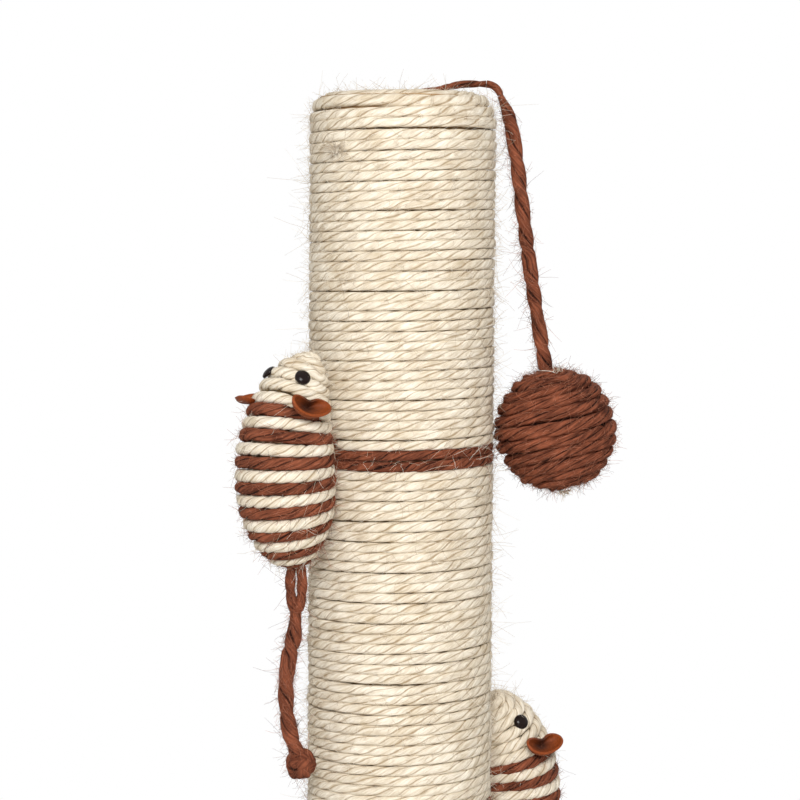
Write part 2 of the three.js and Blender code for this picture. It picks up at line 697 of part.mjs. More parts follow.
// Half a bowl of thin leather, open towards the nose and towards the head, whose roundness
// its edges follow. X runs along the head's side, Y outward and Z towards the nose.
function ear(reach, headR) {
  const [across, down] = [8, 4];
  const wall = (inset) => {
    const rows = [];
    for (let i = 0; i <= down; i++) {
      const drop = (i / down) * 0.46 * Math.PI;
      const row = [];
      for (let j = 0; j <= across; j++) {
        const turn = Math.PI * (j / across);
        const size = Math.cos(drop);
        const x = (EAR_WIDTH / 2 - inset) * Math.cos(turn) * size;
        row.push(new THREE.Vector3(
          x,
          (reach - inset) * Math.sin(turn) * size - (headR - Math.sqrt(headR ** 2 - x ** 2)),
          -(EAR_HEIGHT - inset) * Math.sin(drop),
        ));
      }
      rows.push(row);
    }
    return rows;
  };
  const outer = wall(0);
  const inner = wall(EAR_THICKNESS);
  return skin(outer.map((row, i) => [...row, ...inner[i].toReversed()]));
}

function mouseFace(name, group, bend, { face, pressed }) {
  const eyeTilt = tiltAtHeight(MOUSE_HALF - EYE_DEPTH);
  const earTilt = tiltAtHeight(MOUSE_HALF - EAR_DEPTH);
  const headR = outline(earTilt).r + EAR_EASE;
  for (const [side, label] of [[1, 'left'], [-1, 'right']]) {
    const eyeMesh = add(group, `${name}_eye_${label}`, eye(), FINISH.eye);
    eyeMesh.applyMatrix4(seatOn(bend, radians(face - side * EYE_ANGLE), eyeTilt));
    const reach = pressed === side ? PRESSED_EAR_REACH : EAR_REACH;
    const earMesh = add(group, `${name}_ear_${label}`, ear(reach, headR), FINISH.ear);
    const roll = new THREE.Matrix4().makeRotationY(radians(side * EAR_ROLL));
    earMesh.applyMatrix4(seatOn(bend, radians(face - side * EAR_ANGLE), earTilt).multiply(roll));
  }
}

// The short end of brown rope from the band into the mouse's side.
function tie(name, turning, distance) {
  const from = POST_R + SEAT_GAP;
  const to = distance - MOUSE_R * Math.cos(tiltAtHeight(0)) - SEAT_GAP;
  const stub = new THREE.CylinderGeometry(TIE_DIAMETER / 2, TIE_DIAMETER / 2, to - from, 12);
  stub.rotateZ(Math.PI / 2).translate((from + to) / 2, 0, 0);
  add(turning, `${name}_tie`, stub, FINISH.brownRope);
}

// ---------------------------------------------------------------- tail

function tailLoop() {
  const rings = [];
  const [steps, sides] = [18, 6];
  const [wide, high] = [(LOOP_WIDTH - STRAND_DIAMETER) / 2, (LOOP_HEIGHT - STRAND_DIAMETER) / 2];
  for (let i = 0; i < steps; i++) {
    const turn = (2 * Math.PI * i) / steps;
    const middle = new THREE.Vector3(wide * Math.sin(turn), 0, high * Math.cos(turn));
    const out = new THREE.Vector3(high * Math.sin(turn), 0, wide * Math.cos(turn)).normalize();
    rings.push(Array.from({ length: sides }, (_, j) => {
      const around = (2 * Math.PI * j) / sides;
      return middle.clone().addScaledVector(out, (STRAND_DIAMETER / 2) * Math.cos(around))
        .add(new THREE.Vector3(0, (STRAND_DIAMETER / 2) * Math.sin(around), 0));
    }));
  }
  return skin(rings, true);
}

function tail(name, group) {
  const loopTop = -MOUSE_HALF + MOUSE_ROPE_DEPTH;
  const ropeZ = loopTop - LOOP_HEIGHT - SEAT_GAP - TAIL_DIAMETER / 2;
  const loop = tailLoop().rotateZ(radians(LOOP_TURN + 90));
  loop.translate(-TAIL_TILT, 0, loopTop - LOOP_HEIGHT / 2);
  add(group, `${name}_tail_loop`, loop, FINISH.brownRope);
  const rope = cord([[-TAIL_TILT, ropeZ], ...TAIL_ROUTE], TAIL_DIAMETER, TAIL_SIDES, 8);
  const top = new THREE.SphereGeometry(TAIL_DIAMETER / 2, 12, 8).translate(-TAIL_TILT, 0, ropeZ);
  add(group, `${name}_tail_rope`, join(rope, top), FINISH.brownRope);
  const knot = new THREE.SphereGeometry(KNOT_DIAMETER / 2, 12, 8).translate(KNOT_PLACE[0], 0, KNOT_PLACE[1]);
  add(group, `${name}_tail_knot`, knot, FINISH.brownRope);
}

function mouse(spec) {
  const { name, direction, distance, depth, lean } = spec;
  const side = new THREE.Group();
  side.rotation.z = radians(direction);
  side.position.z = RIM_Z - depth;
  post.add(side);
  tie(name, side, distance);

  const body = new THREE.Group();
  body.position.x = distance;
  side.add(body);
  const bend = bender(lean);
  add(body, `${name}_core`, mouseCore(bend), FINISH.foam);
  mouseRopes(name, body, bend);
  mouseFace(name, body, bend, spec);
  tail(name, body);
}

// ---------------------------------------------------------------- the whole post

base();
fastening();
tubeAndPlugs();
postRopes();
ballRopeTop();
ballRopeBend();
ball();
MICE.forEach(mouse);

export default post;
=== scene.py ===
import math

import bpy
import numpy as np
from mathutils import Matrix, Vector


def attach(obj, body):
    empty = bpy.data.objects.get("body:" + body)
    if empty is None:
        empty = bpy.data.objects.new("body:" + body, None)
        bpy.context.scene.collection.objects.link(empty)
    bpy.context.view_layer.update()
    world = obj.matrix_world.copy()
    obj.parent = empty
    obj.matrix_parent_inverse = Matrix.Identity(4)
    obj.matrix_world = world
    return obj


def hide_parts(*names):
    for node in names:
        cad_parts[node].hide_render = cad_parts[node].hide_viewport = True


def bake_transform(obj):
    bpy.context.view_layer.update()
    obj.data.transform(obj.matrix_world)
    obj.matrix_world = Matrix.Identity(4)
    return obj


# A rope-wound cat scratching post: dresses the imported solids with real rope, leather ears,
# bead eyes and a plush base. Metres, in the frame's own place, +Z up, +X towards the ball.

bl_info = {
    "name": "Rope scratching post",
    "version": (1, 0, 0),
    "blender": (4, 5, 0),
    "location": "View3D > Sidebar > Post",
    "description": "Builds a rope-wound cat scratching post around its packed solids",
    "category": "Object",
}

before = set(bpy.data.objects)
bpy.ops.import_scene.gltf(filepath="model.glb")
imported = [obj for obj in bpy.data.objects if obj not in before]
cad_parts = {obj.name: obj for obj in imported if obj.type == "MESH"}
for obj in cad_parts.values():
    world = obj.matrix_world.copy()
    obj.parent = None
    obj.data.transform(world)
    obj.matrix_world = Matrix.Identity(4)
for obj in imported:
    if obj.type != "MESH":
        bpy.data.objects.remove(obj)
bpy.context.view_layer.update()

MM = 0.001
TURN = 2 * math.pi

# ------------------------------------------------------------------ places, as in the solids

RIM_Z = 0.550
POST_R = 0.045
BASE_SIDE = 0.350
BASE_TOP = 0.020
UPPER_BAND_Z = RIM_Z - 0.1765
LOWER_BAND_Z = RIM_Z - 0.351
BALL_R = 0.0295
BALL_X = 0.0751
BALL_Z = RIM_Z - 0.1644
MOUSE_LENGTH = 0.1014
MOUSE_HALF = MOUSE_LENGTH / 2
MOUSE_R = 0.0237
MOUSE_BELLY = 0.040
TAIL_TILT = 0.007

# Where each mouse hangs, angles in degrees: direction from the post, distance of its axis,
# height of its middle, the way its face turns, how far its nose bends in and sideways, which
# ear the post presses (1 left, -1 right, 0 none), how far its stripes step up and on which
# side, and how its near ear leans and rolls.
MICE = (
    {"name": "mouse1", "direction": -139, "distance": 0.072, "z": UPPER_BAND_Z, "face": 13,
     "lean": 0.012, "sideways": 0.0055, "pressed": 0, "step": 1.1, "step_side": 229,
     "ear_lean": 50, "ear_roll": 14},
    {"name": "mouse2", "direction": 39, "distance": 0.076, "z": LOWER_BAND_Z, "face": -136,
     "lean": 0.016, "sideways": 0.0, "pressed": 1, "step": 0.0, "step_side": 0,
     "ear_lean": 42, "ear_roll": -8},
)


def srgb(red, green, blue):
    """The linear colour of a value read off a screen, 0 to 255."""
    def channel(value):
        part = value / 255
        return part / 12.92 if part <= 0.04045 else ((part + 0.055) / 1.055) ** 2.4
    return (channel(red), channel(green), channel(blue))


# ------------------------------------------------------------------ what a user would change


def length(name, description, default, low):
    return bpy.props.FloatProperty(name=name, description=description, default=default, min=low,
                                   unit="LENGTH")


def colour(name, description, *screen):
    return bpy.props.FloatVectorProperty(name=name, description=description, subtype="COLOR",
                                         default=srgb(*screen), min=0, max=1)


class RopeSizes(bpy.types.PropertyGroup):
    lay: length("Lay", "Length of one full twist of the post's rope", 0.034, 0.005)
    groove: bpy.props.FloatProperty(
        name="Groove", description="Depth between two strands, as a share of the rope's radius",
        default=0.15, min=0.0, max=0.5, subtype="FACTOR")
    wander: length("Wander", "How far a turn strays from its even place", 0.00022, 0.0)
    ball_rope: length("Ball rope", "Diameter of the rope that the ball hangs on", 0.0073, 0.002)
    tail_rope: length("Tail rope", "Diameter of the mice's tails", 0.0074, 0.002)
    fibre: length("Fibre", "Thickness of one stray fibre", 0.00019, 0.00002)


class RopeColours(bpy.types.PropertyGroup):
    natural_light: colour("Natural, light", "Lit fibres of the natural rope", 247, 238, 221)
    natural_dark: colour("Natural, dark", "Shaded fibres of the natural rope", 203, 185, 156)
    # painted shade laid into the bottom of the natural rope's grooves
    natural_groove_shade: colour("Natural, deep", "Bottom of the natural rope's grooves", 168, 145, 114)
    brown_light: colour("Brown, light", "Lit fibres of the brown rope", 154, 88, 62)
    brown_dark: colour("Brown, dark", "Shaded fibres of the brown rope", 54, 25, 17)
    # painted shade laid into the bottom of the brown rope's grooves
    brown_groove_shade: colour("Brown, deep", "Bottom of the brown rope's grooves", 26, 11, 7)
    leather: colour("Ears", "Leather of the ears", 150, 70, 24)
    eyes: colour("Eyes", "Beads of the eyes", 20, 9, 7)
    plush: colour("Plush", "Pile of the base", 224, 210, 184)


def sizes():
    return bpy.context.scene.post_sizes


def colours():
    return bpy.context.scene.post_colours


# ------------------------------------------------------------------ materials


def new_material(name, roughness, **sockets):
    """A material with its Principled shader, whose even values are set on the shader itself."""
    material = bpy.data.materials.new(name)
    material.use_nodes = True
    shader = material.node_tree.nodes["Principled BSDF"]
    shader.inputs["Roughness"].default_value = roughness
    for socket, value in sockets.items():
        shader.inputs[socket.replace("_", " ")].default_value = value
    return material, material.node_tree, shader


def add_node(tree, kind, sockets, **settings):
    """A shader node whose sockets hold a value or are fed by another node's output."""
    node = tree.nodes.new("ShaderNode" + kind)
    for key, value in settings.items():
        setattr(node, key, value)
    for socket, value in sockets.items():
        if isinstance(value, bpy.types.NodeSocket):
            tree.links.new(value, node.inputs[socket])
        else:
            node.inputs[socket].default_value = value
    return node


def mix_colours(tree, factor, low, high):
    """The colour between low and high, each a colour or an output."""
    return add_node(tree, "Mix", {"Factor": factor, "A": low, "B": high},
                    data_type="RGBA").outputs["Result"]


def map_range(tree, value, low, high, **sockets):
    """The value spread from low..high to 0..1, or to the range in the sockets."""
    sockets = {key.replace("_", " "): number for key, number in sockets.items()}
    return add_node(tree, "MapRange", {"Value": value, "From Min": low, "From Max": high,
                                       **sockets}).outputs["Result"]


def group_with(name, inputs):
    """An empty group between a light and a dark colour, that puts out a colour and a height."""
    group = bpy.data.node_groups.new(name, "ShaderNodeTree")
    for label, kind, value in (("Light", "NodeSocketColor", (1, 1, 1, 1)),
                               ("Dark", "NodeSocketColor", (0.5, 0.5, 0.5, 1)), *inputs):
        socket = group.interface.new_socket(name=label, in_out="INPUT", socket_type=kind)
        socket.default_value = value
    for label, kind in (("Color", "NodeSocketColor"), ("Height", "NodeSocketFloat")):
        group.interface.new_socket(name=label, in_out="OUTPUT", socket_type=kind)
    given = group.nodes.new("NodeGroupInput").outputs
    return group, given, group.nodes.new("NodeGroupOutput").inputs


def use_group(material, tree, shader, group, values, bump, depth):
    """Feeds a group's colour and height to the shader."""
    pattern = tree.nodes.new("ShaderNodeGroup")
    pattern.node_tree = group
    for socket, value in values.items():
        pattern.inputs[socket].default_value = value
    lift = add_node(tree, "Bump", {"Strength": bump, "Distance": depth,
                                   "Height": pattern.outputs["Height"]})
    tree.links.new(pattern.outputs["Color"], shader.inputs["Base Color"])
    tree.links.new(lift.outputs["Normal"], shader.inputs["Normal"])
    return material


def strand_group():
    """Fine fibres along a rope's strands, read from its UV map, in centimetres of rope, with
    painted shade in the grooves.
    """
    group = bpy.data.node_groups.get("Rope strands")
    if group:
        return group
    # the third input is the painted shade colour for the bottom of the grooves
    group, given, result = group_with(
        "Rope strands", [("Groove shade", "NodeSocketColor", (0, 0, 0, 1))])
    place = add_node(group, "TexCoord", {})
    stretched = add_node(group, "Mapping", {"Vector": place.outputs["UV"], "Scale": (0.8, 5.5, 1)})
    streaks = add_node(group, "TexNoise", {"Vector": stretched.outputs["Vector"], "Scale": 1.6,
                                           "Detail": 5, "Roughness": 0.62})
    patches = add_node(group, "TexNoise", {"Vector": place.outputs["Object"], "Scale": 85,
                                           "Detail": 3})
    crown = add_node(group, "Attribute", {}, attribute_name="crown")
    streak = map_range(group, streaks.outputs["Fac"], 0.38, 0.62)
    patch = map_range(group, patches.outputs["Fac"], 0.3, 0.7, To_Max=0.45)
    share = add_node(group, "Math", {0: streak, 1: 0.65, 2: patch}, operation="MULTIPLY_ADD")
    # painted shade in the grooves: where the crown is low, and less so in the pale patches, the
    # groove colour is mixed in
    fade = add_node(group, "Math", {0: patch, 1: 0.55, 2: crown.outputs["Fac"]},
                    operation="MULTIPLY_ADD")
    strand = mix_colours(group, share.outputs["Value"], given["Dark"], given["Light"])
    outside_groove_shade = map_range(group, fade.outputs["Value"], 0.12, 0.55)
    group.links.new(mix_colours(group, outside_groove_shade, given["Groove shade"], strand), result["Color"])
    group.links.new(streak, result["Height"])
    return group


def rope_material(name, light, dark, groove_shade, bump):
    """Twisted fibre: streaks along the strands, patches of tone and painted shade in the grooves.
    """
    found = bpy.data.materials.get(name)
    if found:
        return found
    return use_group(*new_material(name, 0.9, Specular_IOR_Level=0.12), strand_group(),
                     {"Light": (*light, 1), "Dark": (*dark, 1), "Groove shade": (*groove_shade, 1)}, bump, 0.0003)


def natural_rope():
    tint = colours()
    return rope_material("rope_natural", tint.natural_light, tint.natural_dark,
                         tint.natural_groove_shade, 0.5)


def brown_rope():
    tint = colours()
    return rope_material("rope_brown", tint.brown_light, tint.brown_dark, tint.brown_groove_shade, 0.7)


def fibre_material(name, light, dark):
    """Single fibres, each with a tone of its own from the mesh's attribute."""
    found = bpy.data.materials.get(name)
    if found:
        return found
    material, tree, shader = new_material(name, 0.8, Specular_IOR_Level=0.15)
    tone = add_node(tree, "Attribute", {}, attribute_name="tone")
    tree.links.new(mix_colours(tree, tone.outputs["Fac"], (*dark, 1), (*light, 1)),
                   shader.inputs["Base Color"])
    return material


def natural_fibres():
    return fibre_material("natural_fibre", srgb(252, 245, 230), srgb(178, 152, 118))


def brown_fibres():
    return fibre_material("brown_fibre", srgb(198, 132, 104), srgb(58, 29, 20))


def plush_fibres():
    tint = tuple(colours().plush)
    return fibre_material("plush_pile", tuple(min(1, 1.08 * c) for c in tint),
                          tuple(0.8 * c for c in tint))


def grain_group():
    """Even noise on the object's own coordinates: a colour and a height."""
    group = bpy.data.node_groups.get("Grain")
    if group:
        return group
    group, given, result = group_with(
        "Grain", [("Stretch", "NodeSocketVector", (1, 1, 1)),
                  ("Scale", "NodeSocketFloat", 300.0)])
    place = add_node(group, "TexCoord", {})
    stretched = add_node(group, "VectorMath", {0: place.outputs["Object"], 1: given["Stretch"]},
                         operation="MULTIPLY")
    fine = add_node(group, "TexNoise", {"Vector": stretched.outputs["Vector"],
                                        "Scale": given["Scale"], "Detail": 6, "Roughness": 0.65})
    spread = map_range(group, fine.outputs["Fac"], 0.35, 0.65)
    group.links.new(mix_colours(group, spread, given["Dark"], given["Light"]), result["Color"])
    group.links.new(spread, result["Height"])
    return group


def grain_material(name, light, dark, roughness, scale, stretch=(1, 1, 1), bump=0.3, depth=0.0003,
                   **sockets):
    """An even finish with a fine grain in two tones."""
    found = bpy.data.materials.get(name)
    if found:
        return found
    return use_group(*new_material(name, roughness, **sockets), grain_group(),
                     {"Light": (*light, 1), "Dark": (*dark, 1), "Stretch": stretch,
                      "Scale": scale}, bump, depth)


def plush():
    tint = tuple(colours().plush)
    return grain_material("plush_cover", tint, tuple(0.74 * c for c in tint), 0.98, 700, bump=0.8,
                          depth=0.0008, Sheen_Weight=0.4, Sheen_Roughness=0.6,
                          Specular_IOR_Level=0.1)


def eye_material():
    tint = colours().eyes
    light = tuple(min(1, 1.6 * c + 0.002) for c in tint)
    return grain_material("eye_bead", light, tuple(tint), 0.2, 420, bump=0.05,
                          Specular_IOR_Level=0.14)


def leather():
    """Grained leather with painted shade where the mesh's fold attribute marks the shaded pinch
    and hollow.
    """
    found = bpy.data.materials.get("ear_leather")
    if found:
        return found
    tint = tuple(colours().leather)
    material = grain_material("ear_leather", tint, tuple(0.6 * c for c in tint), 0.6, 900,
                              bump=0.35, depth=0.0002, Specular_IOR_Level=0.25)
    tree = material.node_tree
    base = tree.nodes["Principled BSDF"].inputs["Base Color"]
    # painted shade: the fold attribute mixes towards a near-black leather in the ear's shaded
    # pinch and hollow
    fold = add_node(tree, "Attribute", {}, attribute_name="fold")
    tree.links.new(mix_colours(tree, fold.outputs["Fac"], base.links[0].from_socket,
                               (*(0.12 * c for c in tint), 1)), base)
    return material


ROPE_LOOKS = {"sisal": natural_rope, "brown_rope": brown_rope}
FIBRE_LOOKS = {"sisal": natural_fibres, "brown_rope": brown_fibres, "plush": plush_fibres}


# ------------------------------------------------------------------ paths and meshes


def deselect():
    bpy.ops.object.select_all(action="DESELECT")


def mesh_piece(name, points, faces, material, body, uv=None, tones=None):
    """A named smooth object from points and faces, at the origin, riding on a body if given."""
    mesh = bpy.data.meshes.new(name)
    mesh.from_pydata(points.tolist(), [], faces)
    mesh.shade_smooth()
    if uv is not None:
        layer = mesh.uv_layers.new(name="UVMap")
        layer.data.foreach_set("uv", uv.astype(np.float32).ravel())
    for label, values in (tones or {}).items():
        attribute = mesh.attributes.new(label, "FLOAT", "POINT")
        attribute.data.foreach_set("value", values.astype(np.float32).ravel())
    mesh.materials.append(material)
    piece = bpy.data.objects.new(name, mesh)
    bpy.context.scene.collection.objects.link(piece)
    if body:
        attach(piece, body)
    return piece


def unit(vectors):
    return vectors / np.maximum(np.linalg.norm(vectors, axis=-1, keepdims=True), 1e-12)


def round_z(radius, angle, z):
    """Points at a radius, an angle and a height about Z."""
    return np.stack([radius * np.cos(angle), radius * np.sin(angle), z], axis=1)


def travelled(path):
    """Length of a path up to each of its points."""
    return np.concatenate([[0], np.cumsum(np.linalg.norm(np.diff(path, axis=0), axis=1))])


def path_length(path):
    return float(np.linalg.norm(np.diff(path, axis=0), axis=1).sum())


def even(curve, step):
    """The same curve with its points a step apart."""
    lengths = travelled(curve)
    places = np.linspace(0, lengths[-1], max(int(round(lengths[-1] / step)), 2) + 1)
    return np.stack([np.interp(places, lengths, curve[:, k]) for k in range(curve.shape[1])],
                    axis=1)


def smooth_path(points, step):
    """Evenly spaced points on a smooth curve through the given ones."""
    points = np.asarray(points, float)
    ends = [2 * points[0] - points[1], *points, 2 * points[-1] - points[-2]]
    curve = []
    for a, b, c, d in zip(ends, ends[1:], ends[2:], ends[3:]):
        for t in np.linspace(0, 1, 24, endpoint=False):
            curve.append(0.5 * (2 * b + (c - a) * t + (2 * a - 5 * b + 4 * c - d) * t * t
                                + (3 * b - a - 3 * c + d) * t ** 3))
    curve.append(points[-1])
    return even(np.array(curve), step)


def wandering(count, spacing, size, seed):
    """Slow, seeded random values along a rope."""
    draw = np.random.default_rng(seed)
    knots = draw.normal(0, size, int(count / spacing) + 4)
    where = np.linspace(0, len(knots) - 1.001, count)
    low = where.astype(int)
    part = where - low
    part = part * part * (3 - 2 * part)
    return knots[low] * (1 - part) + knots[np.minimum(low + 1, len(knots) - 1)] * part


# ------------------------------------------------------------------ rope

STRAND_CROWN = 0.6  # below 1, the strands are fuller and the grooves narrower
UV_PER_METRE = 100
ROOT_DEPTH = 0.0002  # how far inside its rope a fibre starts
LONGEST = 2.3  # the reach of the longest fibres, as a share of the usual one
WAVE = 0.05  # how far a fibre strays from its line, as a share of its reach
GROWN = {}  # the ropes by name, for their fibres


class Rope:
    """A twisted rope swept along a path: its points, faces and what its fibres grow from.

    outward is a direction for each point of the path. thick and wide are the rope's size along
    outward and across it. The strands turn to the left, as they do in this rope."""

    def __init__(self, path, outward, thick, wide, lay, groove, strands=3, sides=12, phase=0.0,
                 square=1.0, restless=0.35):
        count = len(path)
        across = unit(np.cross(unit(np.gradient(path, axis=0)), outward))
        up = np.cross(across, unit(np.gradient(path, axis=0)))
        lengths = travelled(path)
        thick = np.broadcast_to(np.asarray(thick, float), (count,))
        wide = np.broadcast_to(np.asarray(wide, float), (count,))
        seat = TURN * np.arange(sides) / sides
        crown = np.abs(np.cos(strands * seat / 2)) ** STRAND_CROWN
        step = lengths[-1] / max(count - 1, 1)
        seed = int(1e5 * (abs(path[0]).sum() + lengths[-1])) % 9973
        uneven = wandering(count, max(lay / 3 / step, 2), restless, seed)
        depth = 1 + wandering(count, max(lay / 4 / step, 2), 0.3, seed + 1)
        lobe = 1 - groove * (1 - crown) * depth[:, None]
        turn = seat[None, :] + phase - TURN * lengths[:, None] / lay + uneven[:, None]
        cos, sin = np.cos(turn), np.sin(turn)
        high = (thick / 2)[:, None] * lobe * np.sign(cos) * np.abs(cos) ** square
        side = (wide / 2)[:, None] * lobe * np.sign(sin) * np.abs(sin) ** square
        up, across = up[:, None, :], across[:, None, :]
        self.points = path[:, None, :] + up * high[..., None] + across * side[..., None]
        self.outward = unit(up * (cos / thick[:, None])[..., None]
                            + across * (sin / wide[:, None])[..., None])
        self.height = cos
        self.crown = np.broadcast_to(crown, cos.shape)
        self.strand = unit(np.gradient(self.points, axis=0))
        self.lengths = lengths
        self.girth = math.pi * float(wide.mean())

    def mesh(self, name, material, body):
        """The closed skin, with its length and girth as UV and its grooves in an attribute."""
        count, sides = self.height.shape
        ring = np.arange(count - 1)[:, None] * sides
        here = np.arange(sides)[None, :]
        after = (here + 1) % sides
        quads = np.stack([ring + here, ring + after, ring + sides + after, ring + sides + here],
                         axis=-1)
        ends = np.stack([self.points[0].mean(axis=0), self.points[-1].mean(axis=0)])
        first, last = count * sides, count * sides + 1
        base = (count - 1) * sides
        caps = [(first, (j + 1) % sides, j) for j in range(sides)]
        caps += [(last, base + j, base + (j + 1) % sides) for j in range(sides)]
        u = self.lengths * UV_PER_METRE
        v = np.arange(sides + 1) / sides * self.girth * UV_PER_METRE
        cell = np.empty((count - 1, sides, 4, 2))
        cell[..., 0, 0] = cell[..., 1, 0] = u[:-1, None]
        cell[..., 2, 0] = cell[..., 3, 0] = u[1:, None]
        cell[..., 0, 1] = cell[..., 3, 1] = v[None, :-1]
        cell[..., 1, 1] = cell[..., 2, 1] = v[None, 1:]
        uv = np.concatenate([cell.reshape(-1, 2),
                             np.tile([[0, 0], [0.1, 0], [0, 0.1]], (2 * sides, 1))])
        crown = np.concatenate([self.crown.ravel(), [0.5, 0.5]])
        return mesh_piece(name, np.concatenate([self.points.reshape(-1, 3), ends]),
                          quads.reshape(-1, 4).tolist() + caps, material, body, uv,
                          {"crown": crown})


def add_rope(name, rope, slot, body, node):
    """The piece of a rope that stands for a solid."""
    piece = rope.mesh(name, ROPE_LOOKS[slot](), body)
    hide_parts(node)
    GROWN[name] = rope
    return piece


def strings(name, line, slot, body, draw, thickness):
    """Closed three-sided strings along lines of points, that taper to their ends."""
    count, steps = line.shape[:2]
    along = unit(np.gradient(line, axis=1))
    helper = unit(draw.normal(0, 1, (count, 1, 3)) * np.ones((1, steps, 1)))
    across = unit(np.cross(along, helper))
    over = np.cross(along, across)
    taper = (thickness / 2 * np.linspace(1, 0.45, steps))[None, :, None, None]
    spin = TURN * np.arange(3) / 3
    ring = (across[:, :, None, :] * np.cos(spin)[:, None]
            + over[:, :, None, :] * np.sin(spin)[:, None])
    points = (line[:, :, None, :] + ring * taper).reshape(-1, 3)
    pattern = np.array([(i + j, i + (j + 1) % 3, i + 3 + (j + 1) % 3, i + 3 + j)
                        for i in range(0, 3 * (steps - 1), 3) for j in range(3)])
    top = (steps - 1) * 3
    start = np.arange(count) * steps * 3
    faces = (start[:, None, None] + pattern[None]).reshape(-1, 4).tolist()
    faces += (start[:, None] + np.array([2, 1, 0])).tolist()
    faces += (start[:, None] + np.array([top, top + 1, top + 2])).tolist()
    tone = np.repeat(draw.random(count), steps * 3)
    piece = mesh_piece(name, points, faces, FIBRE_LOOKS[slot](), body, tones={"tone": tone})


def lines_from(root, aim, reach, sway, steps=5):
    """Lines of points that leave their roots along aim and bend off by sway."""
    t = np.linspace(0, 1, steps)[None, :, None]
    return root[:, None, :] + aim[:, None, :] * reach[:, None] * t + sway[:, None, :] * t ** 2


def fibres(name, sources, count, reach, slot, body, seed, lift, outer, curl):
    """Stray fibres of about one reach that leave the strands of ropes where they lie outermost."""
    draw = np.random.default_rng(seed)
    ropes = [GROWN[source] for source in sources]
    points, outward, strand = (
        np.concatenate([getattr(rope, part).reshape(-1, 3) for rope in ropes])
        for part in ("points", "outward", "strand"))
    free = np.concatenate([rope.height.ravel() for rope in ropes]) > outer
    for middle, size in clear_places():
        free &= np.linalg.norm(points - middle, axis=1) > size
    chosen = draw.choice(np.flatnonzero(free), count)
    root, out, way = points[chosen], outward[chosen], strand[chosen]
    way = way * draw.choice([-1, 1], (count, 1))
    reach = np.minimum(reach * draw.lognormal(0, 0.5, (count, 1)), LONGEST * reach)
    rise = lift * draw.gamma(1.3, 0.7, (count, 1))
    aim = unit(way + out * rise + draw.normal(0, 0.3, (count, 3)))
    sway = draw.normal(0, curl, (count, 3)) * reach
    sway -= out * np.minimum((sway * out).sum(1, keepdims=True) + 0.35 * reach * rise, 0)
    line = lines_from(root - out * ROOT_DEPTH, aim, reach, sway)
    shake = draw.normal(0, WAVE, (count, 5, 3)) * reach[:, None]
    line += shake * np.linspace(0, 1, 5)[None, :, None]
    strings(name, line, slot, body, draw, sizes().fibre)


def clear_places():
    """Middles and sizes of the places where no fibre grows: round the eyes and in the ears."""
    for mouse in MICE:
        for side in (1, -1):
            angle = math.radians(mouse["face"] - side * EYE_ANGLE)
            yield seat_on(mouse, angle, tilt_at(MOUSE_HALF - EYE_DEPTH), 0)[0], EYE_CLEAR
            angle = math.radians(mouse["face"] - side * EAR_ANGLE)
            yield seat_on(mouse, angle, tilt_at(MOUSE_HALF - EAR_DEPTH), 0.002)[0], EAR_CLEAR


# ------------------------------------------------------------------ stage

CAMERA_FOCUS = 2618.0  # pixels
PICTURE = 800  # pixels
SENSOR = 36
CAMERA_PLACE = (0.0, -1.270, 0.477)
CAMERA_PITCH = 4.5
CAMERA_ROLL = 0.35
CAMERA_SHIFT = (-0.0012, 0.0576)
WORLD_LEVEL = 0.34
LAMP_TARGET = (0, 0, 0.35)
# name, place, size, power
LAMPS = (
    ("key", (0.08, -2.3, 1.45), 1.1, 58.0),
    ("side", (-2.0, -1.3, 1.2), 1.6, 4.0),
    ("back", (0.6, 2.2, 1.8), 1.6, 12.0),
)
FLOOR_R = 60
FLOOR_TONE = 0.86
FLOOR_FADE = (0.30, 0.75)  # distances from the post between which the floor turns white


